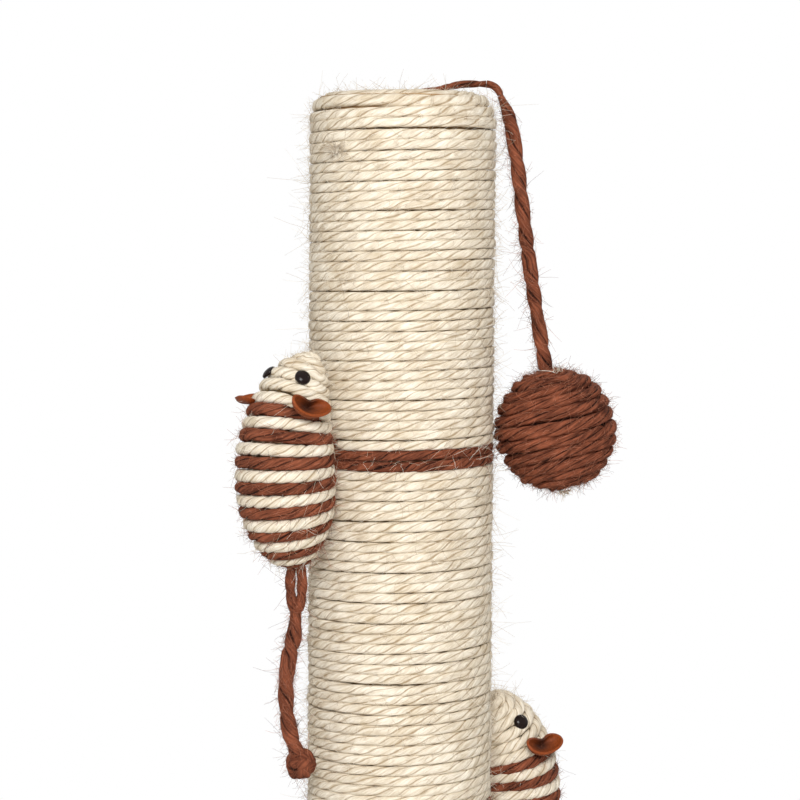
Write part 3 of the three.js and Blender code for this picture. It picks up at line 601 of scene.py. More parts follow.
class STAGE_OT_camera(bpy.types.Operator):
    """Camera, lamps, floor and the white surroundings"""
    bl_idname = "scratching_post.stage"
    bl_label = "Stage"

    def execute(self, context):
        scene = context.scene
        scene.view_settings.view_transform = "Standard"
        camera = bpy.data.cameras.new("camera")
        camera.sensor_width = SENSOR
        camera.lens = CAMERA_FOCUS * SENSOR / PICTURE
        camera.shift_x, camera.shift_y = CAMERA_SHIFT
        camera.clip_end = 50
        looking = bpy.data.objects.new("camera", camera)
        scene.collection.objects.link(looking)
        looking.location = CAMERA_PLACE
        looking.rotation_euler = (math.radians(90 - CAMERA_PITCH), 0, 0)
        looking.rotation_euler.rotate_axis("Z", math.radians(CAMERA_ROLL))
        scene.camera = looking

        deselect()
        bpy.ops.mesh.primitive_circle_add(vertices=64, radius=FLOOR_R, fill_type="NGON")
        floor = context.object
        floor.name = "floor"
        floor.data.materials.append(self.floor_material())

        for name, place, size, power in LAMPS:
            lamp = bpy.data.lights.new(name, "AREA")
            lamp.shape = "DISK"
            lamp.size = size
            lamp.energy = power
            holder = bpy.data.objects.new(name, lamp)
            holder.location = place
            aim = Vector(LAMP_TARGET) - Vector(place)
            holder.rotation_euler = aim.to_track_quat("-Z", "Y").to_euler()
            scene.collection.objects.link(holder)

        world = bpy.data.worlds.new("surroundings")
        world.use_nodes = True
        scene.world = world
        tree = world.node_tree
        background = tree.nodes["Background"]
        level = map_range(tree, self.seen_directly(tree), 0, 1, To_Min=WORLD_LEVEL, To_Max=1.0)
        tree.links.new(level, background.inputs["Strength"])
        background.inputs["Color"].default_value = (1, 1, 1, 1)
        return {"FINISHED"}

    @staticmethod
    def seen_directly(tree):
        """1 for what the camera, a reflection or a view through glass sees."""
        path = add_node(tree, "LightPath", {})
        total = path.outputs["Is Camera Ray"]
        for label in ("Is Glossy Ray", "Is Transmission Ray"):
            total = add_node(tree, "Math", {0: total, 1: path.outputs[label]},
                             operation="MAXIMUM").outputs["Value"]
        return total

    @staticmethod
    def floor_material():
        """Pale near the post, where it takes the shadow, and white beyond."""
        material, tree, shader = new_material("floor", 0.85, Specular_IOR_Level=0.0,
                                              Emission_Color=(1, 1, 1, 1))
        place = add_node(tree, "TexCoord", {})
        away = add_node(tree, "VectorMath", {0: place.outputs["Object"]}, operation="LENGTH")
        far = add_node(tree, "MapRange", {"Value": away.outputs["Value"],
                                          "From Min": FLOOR_FADE[0], "From Max": FLOOR_FADE[1]},
                       interpolation_type="SMOOTHSTEP")
        path = add_node(tree, "LightPath", {})
        seen = add_node(tree, "Math", {0: far.outputs["Result"], 1: path.outputs["Is Camera Ray"]},
                        operation="MULTIPLY").outputs["Value"]
        shade = map_range(tree, seen, 0, 1, To_Min=FLOOR_TONE, To_Max=0.0)
        tree.links.new(shade, shader.inputs["Base Color"])
        tree.links.new(seen, shader.inputs["Emission Strength"])
        return material


# ------------------------------------------------------------------ the ball's rope

HINGE = np.array([0.0476, 0.0, 0.5448])  # where the hanging stretch leaves the rim
RIM_WAY = np.array([3.0, 0, -6.8])  # the way the rope points there
# x and z below the rim, in millimetres
HANGING = ((47.6, -5.2), (50.6, -12), (53, -22), (55.3, -36), (58.9, -64), (63.8, -98))
FLAT = 0.0036  # thickness of the rope where it lies on the post
TOP_DIP = 0.0042  # how far it sinks into the middle of the spiral
KNEE_R = 0.006
RIM_BEND_R = 0.0071
RIM_BEND_X = 0.040
BALL_BITE = 0.004  # how far the rope goes into the ball


def ball_lean():
    x, z = HANGING[-1]
    return math.atan2(BALL_X - x * MM, RIM_Z + z * MM - BALL_Z)


def arc_xz(centre, radius, start, stop, steps):
    """Points on an arc in the XZ plane; angles in degrees from +Z towards +X."""
    angles = np.radians(np.linspace(start, stop, steps))
    return np.stack([centre[0] + radius * np.sin(angles), np.zeros(steps),
                     centre[1] + radius * np.cos(angles)], axis=1)


class BALL_ROPE_OT_hang(bpy.types.Operator):
    """The brown rope that comes out of the post's top, lies over the rim and holds the ball"""
    bl_idname = "scratching_post.ball_rope"
    bl_label = "Ball rope"

    def execute(self, context):
        rope = sizes().ball_rope
        way = unit(RIM_WAY)
        top_z = RIM_Z + 0.0003 + FLAT / 2
        knee = arc_xz((KNEE_R, top_z - TOP_DIP - KNEE_R), KNEE_R, -90, 0, 7)
        route = np.concatenate([[[0, 0, RIM_Z - 0.035]], knee, [
            [0.0170, 0, top_z - TOP_DIP * 0.72], [0.0225, 0, top_z - 0.0013],
            [0.0285, 0, top_z - 0.0002], [0.034, 0, top_z], [0.0399, 0, top_z]]])
        path = smooth_path(route, 0.0008)
        self.lay_rope("ball_rope_over_top", path, FLAT, rope, "post", "ball_rope_top", 0.4)

        bend = arc_xz((RIM_BEND_X, top_z - RIM_BEND_R), RIM_BEND_R, 1, 66.2, 7)
        path = smooth_path(np.concatenate([bend, [HINGE - 0.0021 * way]]), 0.0006)
        over = self.lay_rope("ball_rope_over_rim", path, FLAT, rope, None, "ball_rope_bend", 1.1)
        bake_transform(over)

        lean = ball_lean()
        pole = [BALL_X - (BALL_R - BALL_BITE) * math.sin(lean), 0,
                BALL_Z + (BALL_R - BALL_BITE) * math.cos(lean)]
        stations = np.array([[x * MM, 0, RIM_Z + z * MM] for x, z in HANGING] + [pole])
        path = smooth_path(np.concatenate([[HINGE - 0.0018 * way], stations]), 0.0008)
        thick = np.interp(travelled(path), [0, 0.004, 0.011, 0.022], [FLAT, 0.0042, 0.0069, rope])
        hanging = self.lay_rope("ball_rope_hanging", path, thick, rope, None, "ball_rope", 1.9)
        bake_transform(hanging)
        return {"FINISHED"}

    def lay_rope(self, name, path, thick, wide, body, node, phase):
        outward = np.cross(unit(np.gradient(path, axis=0)), [0, 1.0, 0]) * -1
        rope = Rope(path, outward, thick, wide, 0.030, 0.34, strands=2, sides=20, phase=phase)
        return add_rope(name, rope, "brown_rope", body, node)


# ------------------------------------------------------------------ the post's rope

LOWER_BAND_TURN = 36.1083
UPPER_BAND_TURN = 72.5833
BAND_TURNS = 2.045
# Turns, counted up from the plush, and the height of the rope there. The top turns are thicker.
POST_HEIGHTS = (
    (0.0, 0.0228),
    (37.25, LOWER_BAND_Z),
    (73.25, UPPER_BAND_Z),
    (103.9, 0.5172),
    (104.95, 0.5222),
    (106.05, 0.5281),
    (107.1, 0.5335),
    (108.1, 0.5387),
    (109.2, 0.5444),
)
TOP_TURN = POST_HEIGHTS[-1][0]
POINTS_PER_TURN = 112
SPIRAL_TURNS = 6.6
SPIRAL_THICK, SPIRAL_WIDE = 0.0052, 0.0056
TURN_WIDTHS = (0.0045, 0.0064)  # of the thinnest and the thickest turn
PRESS = 1.035  # neighbouring turns press into each other


def post_path(start, stop, seed):
    """The rope's middle on the post between two turn counts, with its width."""
    step = 1 / POINTS_PER_TURN
    turns = np.arange(start, stop + step / 2, step)
    count = len(turns)
    knots = np.array(POST_HEIGHTS)

    def height(turn):
        return np.interp(turn, knots[:, 0], knots[:, 1])

    def share(first, over):
        return np.clip((turns - first) / over, 0, 1)

    gap = height(turns + 0.5) - height(turns - 0.5)
    gap = np.where(turns > knots[-1, 0] - 0.5, gap * 2, gap)
    gap = np.where(turns < 0.5, gap * 2, gap)
    gap = np.clip(gap, *TURN_WIDTHS)
    drift = sizes().wander
    z = height(turns) + wandering(count, 22, drift, seed) * (1 + 1.6 * share(103, 6))
    radius = POST_R - gap / 2 + wandering(count, 17, drift * 0.8, seed + 1)
    # the last turns draw in over the rim
    radius -= 0.0012 * share(107.4, 0.9) + 0.0038 * share(108.3, 0.9) ** 1.6
    angle = TURN * turns
    width = gap * PRESS * (1 + wandering(count, 15, 0.02, seed + 2))
    return round_z(radius, angle, z), round_z(1.0, angle, 0.9 * share(108.2, 1.0)), width


class POST_ROPE_OT_wind(bpy.types.Operator):
    """The rope wound up the post, its brown bands and the flat spiral on its top"""
    bl_idname = "scratching_post.post_rope"
    bl_label = "Post rope"

    def execute(self, context):
        lower_end = LOWER_BAND_TURN + BAND_TURNS
        upper_end = UPPER_BAND_TURN + BAND_TURNS
        for k, (name, start, stop, slot, node) in enumerate((
                ("post_rope_lower", 0, LOWER_BAND_TURN, "sisal", "winding_lower"),
                ("post_band_lower", LOWER_BAND_TURN, lower_end, "brown_rope", "band_lower"),
                ("post_rope_middle", lower_end, UPPER_BAND_TURN, "sisal", "winding_middle"),
                ("post_band_upper", UPPER_BAND_TURN, upper_end, "brown_rope", "band_upper"),
                ("post_rope_upper", upper_end, TOP_TURN, "sisal", "winding_upper"))):
            path, outward, width = post_path(start, stop, 40 + 5 * k)
            rope = Rope(path, outward, width, width, sizes().lay, sizes().groove, 3, 18, phase=k,
                        square=0.7)
            add_rope(name, rope, slot, "post", node)
        self.spiral()
        return {"FINISHED"}

    def spiral(self):
        """Turns that lie flat on the top plug, from the rim to the rope's hole."""
        turns = np.linspace(0, SPIRAL_TURNS, 6 * 96)
        radius = np.interp(turns, [0, 1, SPIRAL_TURNS], [0.0372, 0.0318, 0.0058])
        lift = np.interp(turns, [0, 0.7, 1.5, SPIRAL_TURNS], [-0.0056, -0.0046, -0.0048, -0.0072])
        z = RIM_Z + lift + wandering(len(turns), 20, 0.0002, 91)
        outward = np.tile([0, 0, 1.0], (len(turns), 1))
        rope = Rope(round_z(radius, TURN * (TOP_TURN + turns), z), outward, SPIRAL_THICK,
                    SPIRAL_WIDE, sizes().lay, sizes().groove, 3, 12, phase=2)
        add_rope("post_top_spiral", rope, "sisal", "post", "top_spiral")


# ------------------------------------------------------------------ ball

BALL_LOOPS = 12.3
BALL_STRAND = 0.0066
BALL_SWELL = 0.0009  # how far the crest of the winding stands over the solid


class BALL_OT_wind(bpy.types.Operator):
    """The ball of brown rope, wound from pole to pole"""
    bl_idname = "scratching_post.ball"
    bl_label = "Ball"

    def execute(self, context):
        radius = BALL_R + BALL_SWELL - BALL_STRAND / 2
        turns = np.linspace(0, BALL_LOOPS, int(BALL_LOOPS * 110))
        count = len(turns)
        end = 0.62 * BALL_STRAND / radius
        latitude = -math.pi / 2 + end + (math.pi - 2 * end) * turns / BALL_LOOPS
        latitude = latitude + wandering(count, 26, 0.022, 7) * np.cos(latitude)
        spread = radius + wandering(count, 21, 0.0003, 8) - 0.0003
        local = round_z(np.cos(latitude), TURN * turns + 0.6, np.sin(latitude))
        lean = Matrix.Rotation(-ball_lean(), 3, "Y")
        turned = local @ np.array(lean).T
        path = turned * spread[:, None] + [BALL_X, 0, BALL_Z]
        wide = BALL_STRAND * (1.0 + wandering(count, 16, 0.05, 9))
        rope = Rope(path, turned, wide, wide * 0.99, 0.056, 0.30, 4, 24, square=0.9, restless=0.5)
        add_rope("ball_rope_wound", rope, "brown_rope", "ball", "ball_winding")
        return {"FINISHED"}


# ------------------------------------------------------------------ mice


def body_outline(tilt):
    """Radius, height and outward normal on the half ellipses of a mouse's outline."""
    reach = np.where(tilt < 0, MOUSE_BELLY, MOUSE_LENGTH - MOUSE_BELLY)
    cos, sin = np.cos(tilt), np.sin(tilt)
    size = np.hypot(reach * cos, MOUSE_R * sin)
    return (MOUSE_R * cos, MOUSE_BELLY - MOUSE_HALF + reach * sin, reach * cos / size,
            MOUSE_R * sin / size)


def outline_lengths():
    """Tilts along the outline, and the length of skin from the tail end up to each."""
    tilt = np.linspace(-math.pi / 2, math.pi / 2, 1441)
    r, z, _, _ = body_outline(tilt)
    return tilt, np.concatenate([[0], np.cumsum(np.hypot(np.diff(r), np.diff(z)))])


def tilt_at(z):
    return math.asin((z + MOUSE_HALF - MOUSE_BELLY) / (MOUSE_LENGTH - MOUSE_BELLY))


def bent(points, lean, sideways=0.0):
    """Points of a straight mouse, moved so that its nose and tail end lean towards the post."""
    t = points[..., 2] / MOUSE_HALF
    reach = np.where(t > 0, lean, TAIL_TILT)
    slope = np.arctan(2 * reach * t / MOUSE_HALF)
    x = -reach * t * t + points[..., 0] * np.cos(slope)
    z = points[..., 2] + points[..., 0] * np.sin(slope)
    y = points[..., 1] + sideways * np.maximum(t, 0) ** 3
    return np.stack([x, y, z], axis=-1)


def hung(points, mouse):
    """Points in a mouse's own place, +X away from the post, moved to where it hangs."""
    angle = math.radians(mouse["direction"])
    cos, sin = math.cos(angle), math.sin(angle)
    x = points[..., 0] + mouse["distance"]
    y = points[..., 1]
    return np.stack([x * cos - y * sin, x * sin + y * cos, points[..., 2] + mouse["z"]], axis=-1)


def on_body(points, mouse):
    return hung(bent(points, mouse["lean"], mouse["sideways"]), mouse)


def seat_on(mouse, angle, tilt, gap):
    """Origin and the side, outward and up directions on a mouse's skin, in the frame."""
    r, z, nr, nz = (float(value) for value in body_outline(np.float64(tilt)))

    def at(out, up):
        radius = r + out * nr - up * nz
        return on_body(np.array([radius * math.cos(angle), radius * math.sin(angle),
                                 z + out * nz + up * nr]), mouse)
    out = unit(at(0.001, 0) - at(0, 0))
    side = unit(np.cross(out, at(0, 0.001) - at(0, 0)))
    return at(gap, 0), side, out, np.cross(side, out)


STRIPE_PITCH = 0.01113
STRIPE_FIRST = 0.0104  # along the skin, from the tail end to the first brown turn
STRIPE_LOOPS = 6.67
HEAD_PITCH = 0.0061
STRIPE_POINTS = 90  # for each turn


class MICE_OT_wind(bpy.types.Operator):
    """The two mice: brown and natural rope wound side by side, natural alone on the head"""
    bl_idname = "scratching_post.mice"
    bl_label = "Mice"

    def execute(self, context):
        _, lengths = outline_lengths()
        half = STRIPE_PITCH / 2
        for k, mouse in enumerate(MICE):
            turns = np.arange(-0.85, STRIPE_LOOPS + 0.16, 1 / STRIPE_POINTS)
            places = STRIPE_FIRST + STRIPE_PITCH * self.level(turns, mouse)
            self.wind("brown", mouse, turns, places, half * 1.1, "brown_rope", 60 + 10 * k,
                      (0.036, 0.28), 0.004 * np.clip((turns - STRIPE_LOOPS) / 0.16, 0, 1) ** 2)
            turns = np.arange(-1.4, 14, 1 / STRIPE_POINTS)
            places = STRIPE_FIRST + half + STRIPE_PITCH * self.level(turns, mouse)
            for i in np.flatnonzero(turns > STRIPE_LOOPS):
                share = min((turns[i] - STRIPE_LOOPS) / 0.12, 1)
                places[i] += share * (places[i - STRIPE_POINTS] + HEAD_PITCH - places[i])
            places = np.convolve(np.pad(places, 12, "edge"), np.ones(25) / 25, "valid")
            inside = places < lengths[-1] - 0.3 * half
            self.wind("natural", mouse, turns[inside], places[inside], half * 1.08, "sisal",
                      64 + 10 * k, (0.0195, 0.22), 0.0)
        return {"FINISHED"}

    @staticmethod
    def level(turns, mouse):
        """Turn counts whose rise is moved to the side away from the mouse's level side."""
        swing = TURN * turns + math.pi - math.radians(mouse["step_side"])
        return turns + mouse["step"] / TURN * np.sin(swing)

    def wind(self, tone, mouse, turns, places, width, slot, seed, twist, sink):
        """One colour of rope at places along the skin, sunk into the body by sink."""
        tilt, lengths = outline_lengths()
        places = places + wandering(len(turns), 24, 0.00018, seed)
        places = np.clip(places, 0.0006, lengths[-1] - 0.0006)
        r, z, nr, nz = body_outline(np.interp(places, lengths, tilt))
        depth = width * 0.5 + wandering(len(turns), 20, 0.00015, seed + 1) + sink - 0.0003
        angle = math.pi + TURN * turns
        spine = round_z(np.maximum(r - depth * nr, 0.0011), angle, z - depth * nz)
        path = on_body(spine, mouse)
        outward = on_body(spine + 0.001 * round_z(nr, angle, nz), mouse) - path
        rope = Rope(path, outward, width * 0.97, width, *twist, 3, 18, square=0.88)
        name = mouse["name"]
        add_rope(f"{name}_{tone}_rope", rope, slot, name, f"{name}_{tone}_winding")


# ------------------------------------------------------------------ eyes and ears

EYE_R = 0.0037
EYE_HEIGHT = 0.0024
EYE_SUNK = 0.0007
EYE_DEPTH = 0.0134
EYE_ANGLE = 44
EYE_CLEAR = 0.0060  # no fibre grows so near to an eye
EAR_WIDTH = 0.020
EAR_REACH = 0.0112
EAR_PRESSED = 0.0026
EAR_CUP = 0.0044
EAR_FAR_LEAN = -4
EAR_DROP = 0.0027
EAR_DEPTH = 0.0215
EAR_ANGLE = 56
EAR_CLEAR = 0.0085
EAR_NEAR_OUT = 0.0012
EAR_FAR_OUT = -0.0028
LEATHER = 0.0012  # thickness
LEATHER_EDGE = 0.0003
EAR_AROUND, EAR_DOWN = 48, 10


class FACES_OT_dress(bpy.types.Operator):
    """Bead eyes and cupped leather ears on both mice"""
    bl_idname = "scratching_post.faces"
    bl_label = "Eyes and ears"

    def execute(self, context):
        for mouse in MICE:
            for side, label in ((1, "left"), (-1, "right")):
                angle = math.radians(mouse["face"] - side * EYE_ANGLE)
                self.eye(f"{mouse['name']}_eye_{label}", mouse["name"],
                         seat_on(mouse, angle, tilt_at(MOUSE_HALF - EYE_DEPTH), -EYE_SUNK))
                angle = math.radians(mouse["face"] - side * EAR_ANGLE)
                self.ear(f"{mouse['name']}_ear_{label}", mouse,
                         seat_on(mouse, angle, tilt_at(MOUSE_HALF - EAR_DEPTH), 0.0002), side)
        return {"FINISHED"}

    def eye(self, node, body, seat):
        """A low bead with a rounded top, made of half a sphere."""
        deselect()
        bpy.ops.mesh.primitive_uv_sphere_add(segments=40, ring_count=24, radius=EYE_R)
        piece = bpy.context.object
        piece.name = f"{node}_bead"
        bpy.ops.object.mode_set(mode="EDIT")
        bpy.ops.mesh.bisect(plane_co=(0, 0, 0), plane_no=(0, 0, -1), clear_outer=True,
                            use_fill=True)
        bpy.ops.object.mode_set(mode="OBJECT")
        for vertex in piece.data.vertices:
            x, y, z = vertex.co
            rim = math.hypot(x, y) / EYE_R
            height = z / EYE_R
            z = EYE_HEIGHT * (0.45 * min(1, height * 6)
                              + 0.55 * (1 - rim ** 2.6) * min(1, height * 3))
            vertex.co = (x, z, -y)
        piece.data.materials.append(eye_material())
        bpy.ops.object.shade_smooth()
        origin, side, out, up = seat
        piece.data.transform(Matrix([(*row, place) for row, place in
                                     zip(zip(side, out, up), origin)] + [(0, 0, 0, 1)]))
        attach(piece, body)
        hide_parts(node)

    def ear(self, node, mouse, seat, side):
        """A dished piece of leather, folded where it is stitched to the head."""
        origin, _, out, _ = seat
        flat_out = unit(np.array([out[0], out[1], 0]))
        near = side < 0
        lean = math.radians(mouse["ear_lean"] if near else EAR_FAR_LEAN)
        roll = math.radians(mouse["ear_roll"] if near else 0)
        cup = EAR_CUP if near else 0.6 * EAR_CUP
        reach = EAR_PRESSED if mouse["pressed"] == side else EAR_REACH
        opening = unit(flat_out * math.sin(lean) + np.array([0, 0, math.cos(lean)]))
        across = unit(np.cross(flat_out, [0, 0, 1.0]))
        front = np.cross(opening, across)
        across, opening = (across * math.cos(roll) + opening * math.sin(roll),
                           opening * math.cos(roll) - across * math.sin(roll))
        rings = []
        for i in range(EAR_DOWN):
            share = 1 - i / EAR_DOWN
            depth = math.sqrt(max(1 - share ** 2.2, 0))
            for j in range(EAR_AROUND):
                turn = TURN * j / EAR_AROUND
                back = max(-math.sin(turn), 0)
                fold = math.exp(-((turn - 1.5 * math.pi) / 0.42) ** 2)
                x = EAR_WIDTH / 2 * math.cos(turn) * share
                y = reach / 2 * math.sin(turn) * share * (1 - 0.3 * back - 0.45 * fold)
                z = -cup * depth + 0.0008 * math.cos(2 * turn + 0.5) * share
                # painted shade kept in the fold attribute: dark in the pinch at the back, and
                # darker towards the hollow of the dish
                dark = math.exp(-(x / 0.0055) ** 2 - ((y + 0.0014) / 0.0040) ** 2)
                rings.append((x, y, z, min(1, 0.95 * dark + 0.25 * (1 - share))))
        # the bottom of the dish carries painted shade too
        rings.append((0, 0, -cup, 0.8))
        middle = (origin + flat_out * (reach / 2 + (EAR_NEAR_OUT if near else EAR_FAR_OUT))
                  - np.array([0, 0, EAR_DROP]))
        points = np.array([middle + across * x + front * y + opening * z for x, y, z, _ in rings])
        faces = []
        for i in range(0, (EAR_DOWN - 1) * EAR_AROUND, EAR_AROUND):
            for j in range(EAR_AROUND):
                a, b = i + j, i + (j + 1) % EAR_AROUND
                faces.append((a, b, b + EAR_AROUND, a + EAR_AROUND))
        last = (EAR_DOWN - 1) * EAR_AROUND
        faces += [(last + j, last + (j + 1) % EAR_AROUND, len(rings) - 1)
                  for j in range(EAR_AROUND)]
        piece = mesh_piece(f"{node}_leather", points, faces, leather(), mouse["name"],
                           tones={"fold": np.array([ring[3] for ring in rings])})
        deselect()
        bpy.context.view_layer.objects.active = piece
        piece.select_set(True)
        for kind, values in (("SOLIDIFY", {"thickness": LEATHER, "offset": -1}),
                             ("BEVEL", {"width": LEATHER_EDGE, "segments": 2,
                                        "limit_method": "ANGLE", "angle_limit": 0.9}),
                             ("SUBSURF", {"levels": 1, "render_levels": 1})):
            modifier = piece.modifiers.new(kind.lower(), kind)
            for key, value in values.items():
                setattr(modifier, key, value)
            bpy.ops.object.modifier_apply(modifier=modifier.name)
        bpy.ops.object.mode_set(mode="EDIT")
        bpy.ops.mesh.select_all(action="SELECT")
        bpy.ops.mesh.normals_make_consistent(inside=False)
        bpy.ops.object.mode_set(mode="OBJECT")
        bpy.ops.object.shade_smooth()
        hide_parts(node)


# ------------------------------------------------------------------ ties and tails

TIE = 0.0060
TIE_POINTS = 24
LOOP_HEIGHT = 0.028
LOOP_WIDE = 0.0028
LOOP_TOP = -MOUSE_HALF + 0.0046
LOOP_TURN = 49
STRAND = 0.0052
# The tail's middle line below the loop, x away from the post and z, in the mouse's own place.
TAIL_ROUTE = ((-0.0056, -0.0835), (-0.003, -0.092), (-0.0009, -0.1085), (-0.0028, -0.1265),
              (-0.007, -0.1376), (-0.0085, -0.1415))
KNOT_MIDDLE = np.array([-0.010, 0, -0.1452])
KNOT_R = 0.0080
KNOT_TURNS = 3.4
KNOT_PATH_R = KNOT_R - 0.0024
KNOT_HEART_R = KNOT_R - 0.0030
KNOT_THICK, KNOT_WIDE = 0.0050, 0.0054


class TIES_OT_tie(bpy.types.Operator):
    """The short rope ends that hold the mice to the brown bands"""
    bl_idname = "scratching_post.ties"
    bl_label = "Ties"

    def execute(self, context):
        for mouse in MICE:
            name = mouse["name"]
            start = POST_R - 0.0012 - mouse["distance"]
            stop = -MOUSE_R + 0.0016
            line = np.zeros((TIE_POINTS, 3))
            line[:, 0] = np.linspace(start, stop, TIE_POINTS)
            path = hung(line, mouse)
            rope = Rope(path, np.tile([0, 0, 1.0], (TIE_POINTS, 1)), TIE, TIE, 0.02, 0.24, 3, 15)
            piece = add_rope(f"{name}_tie_rope", rope, "brown_rope", None, f"{name}_tie")
            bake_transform(piece)
        return {"FINISHED"}


class TAILS_OT_hang(bpy.types.Operator):
    """The mice's tails: a loop of one strand, the twisted rope and its knot"""
    bl_idname = "scratching_post.tails"
    bl_label = "Tails"

    def execute(self, context):
        wide = sizes().tail_rope
        for k, mouse in enumerate(MICE):
            name = mouse["name"]
            self.loop(name, mouse, k)
            route = [[-TAIL_TILT, 0, LOOP_TOP - LOOP_HEIGHT + STRAND * 0.6],
                     *([x, 0, z] for x, z in TAIL_ROUTE)]
            path = hung(smooth_path(route, 0.0008), mouse)
            outward = (hung(np.array([[0.1, 0, 0]]), mouse)
                       - hung(np.array([[0.0, 0, 0]]), mouse))
            lengths = np.linspace(0, path_length(path), len(path))
            size = np.interp(lengths, [0, 0.006, 0.012, 1], [0.0052, 0.0066, wide, wide])
            rope = Rope(path, np.tile(outward, (len(path), 1)), size, size * 1.12, 0.030, 0.4, 2,
                        20, phase=k)
            piece = add_rope(f"{name}_tail_twist", rope, "brown_rope", f"{name}_tail",
                             f"{name}_tail_rope")
            knot = self.knot(name, mouse)
        return {"FINISHED"}

    def loop(self, name, mouse, k):
        """One strand that comes out of the tail end, turns round and goes back in."""
        angles = np.radians(np.linspace(-168, 168, 60))
        high = LOOP_HEIGHT / 2 - STRAND / 2
        x = LOOP_WIDE * np.sin(angles) * (1 - 0.15 * np.cos(angles))
        z = -high * np.cos(angles)
        turn = math.radians(LOOP_TURN + 90)
        line = np.stack([x * math.cos(turn) - TAIL_TILT, x * math.sin(turn),
                         z + LOOP_TOP - LOOP_HEIGHT / 2], axis=1)
        path = even(hung(line, mouse), 0.0007)
        middle = hung(np.array([[-TAIL_TILT, 0, LOOP_TOP - LOOP_HEIGHT / 2]]), mouse)
        rope = Rope(path, path - middle, STRAND, STRAND, 0.018, 0.26, 2, 14, phase=k)
        piece = add_rope(f"{name}_tail_strand", rope, "brown_rope", f"{name}_loop",
                         f"{name}_tail_loop")

    def knot(self, name, mouse):
        """A close knot: a strand laid over itself in slanting turns, round a plain heart."""
        t = np.linspace(0, 1, 400)
        angle = TURN * KNOT_TURNS * t
        swing = math.pi * 0.98 * t
        flat = round_z(1.0, angle, 0.22 * np.sin(2 * angle + 1))
        x = flat[:, 0] * np.cos(swing) - flat[:, 2] * np.sin(swing)
        z = flat[:, 0] * np.sin(swing) + flat[:, 2] * np.cos(swing)
        size = (KNOT_PATH_R * (0.86 + 0.14 * t))[:, None]
        line = np.stack([x, flat[:, 1], z], axis=1) * size + KNOT_MIDDLE
        path = hung(even(line, 0.0008), mouse)
        middle = hung(KNOT_MIDDLE[None, :], mouse)
        rope = Rope(path, path - middle, KNOT_THICK, KNOT_WIDE, 0.022, 0.34, 3, 15, restless=0.5)
        piece = add_rope(f"{name}_tail_end_knot", rope, "brown_rope", f"{name}_tail",
                         f"{name}_tail_knot")
        deselect()
        bpy.ops.mesh.primitive_uv_sphere_add(segments=24, ring_count=14, radius=KNOT_HEART_R,
                                             location=tuple(middle[0]))
        heart = bpy.context.object
        heart.name = f"{name}_tail_knot_heart"
        bpy.ops.object.transform_apply(location=True, rotation=True, scale=True)
        heart.data.materials.append(brown_rope())
        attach(heart, f"{name}_tail")
        return piece


# ------------------------------------------------------------------ stray fibres

EVERYWHERE = -2  # lowest height on the rope, from -1 at its back to 1, where a fibre grows
FRONT = 0.1
CREST = 0.3
BANDS = ("post_band_lower", "post_band_upper")
# Fibres that stand off: name, ropes, count, reach, slot, body.
STANDING = (
    ("post_fibres_lower", ("post_rope_lower",), 3900, 0.0034, "sisal", "post"),
    ("post_fibres_middle", ("post_rope_middle",), 3900, 0.0034, "sisal", "post"),
    ("post_fibres_upper", ("post_rope_upper",), 4600, 0.0034, "sisal", "post"),
    ("post_fibres_top", ("post_top_spiral",), 300, 0.0026, "sisal", "post"),
    ("band_fibres", BANDS, 600, 0.004, "brown_rope", "post"),
    ("band_fibres_pale", BANDS, 260, 0.005, "sisal", "post"),
    ("ball_fibres", ("ball_rope_wound",), 1300, 0.0019, "brown_rope", "ball"),
    ("ball_rope_fibres", ("ball_rope_hanging",), 620, 0.0028, "brown_rope", "ball"),
)
# Fibres that lie along the strands: name, ropes, count, slot, body, lowest height.
LYING = (
    ("post_strays_lower", ("post_rope_lower",), 3300, "sisal", "post", CREST),
    ("post_strays_middle", ("post_rope_middle",), 3300, "sisal", "post", CREST),
    ("post_strays_upper", ("post_rope_upper", "post_top_spiral"), 3900, "sisal", "post", CREST),
    ("band_strays", BANDS, 600, "brown_rope", "post", CREST),
    ("ball_strays", ("ball_rope_wound",), 3800, "brown_rope", "ball", CREST),
    ("ball_rope_strays", ("ball_rope_hanging",), 500, "brown_rope", "ball", EVERYWHERE),
    ("mouse1_tail_strays", ("mouse1_tail_twist",), 420, "brown_rope", "mouse1_tail", EVERYWHERE),
    ("mouse2_tail_strays", ("mouse2_tail_twist",), 420, "brown_rope", "mouse2_tail", EVERYWHERE),
    ("mouse1_strays", ("mouse1_natural_rope",), 500, "sisal", "mouse1", CREST),
    ("mouse2_strays", ("mouse2_natural_rope",), 500, "sisal", "mouse2", CREST),
    ("mouse1_brown_strays", ("mouse1_brown_rope",), 1300, "brown_rope", "mouse1", CREST),
    ("mouse2_brown_strays", ("mouse2_brown_rope",), 1300, "brown_rope", "mouse2", CREST),
)
# Standing fibres of each mouse: name, rope, count, slot, ending of the body's name, height.
ON_MOUSE = (
    ("natural_fibres", "natural_rope", 700, "sisal", "", FRONT),
    ("brown_fibres", "brown_rope", 800, "brown_rope", "", FRONT),
    ("tail_fibres", "tail_twist", 420, "brown_rope", "_tail", EVERYWHERE),
    ("knot_fibres", "tail_end_knot", 170, "brown_rope", "_tail", EVERYWHERE),
    ("loop_fibres", "tail_strand", 170, "brown_rope", "_loop", EVERYWHERE),
)
# Pale fibres caught at the ball's ends: name, direction from its middle, count, reach.
PALE_ENDS = (
    ("ball_pale_top", (0.02, -0.34, 0.94), 12, 0.0034),
    ("ball_pale_bottom", (0.12, -0.2, -0.97), 34, 0.0028),
)
SPLICE_ANGLE = -133
SPLICE_Z = 0.5194
SPLICE_FIBRES = 90
SPLICE_FIBRE = 0.00034  # thickness
PALE_FIBRE = 0.0004


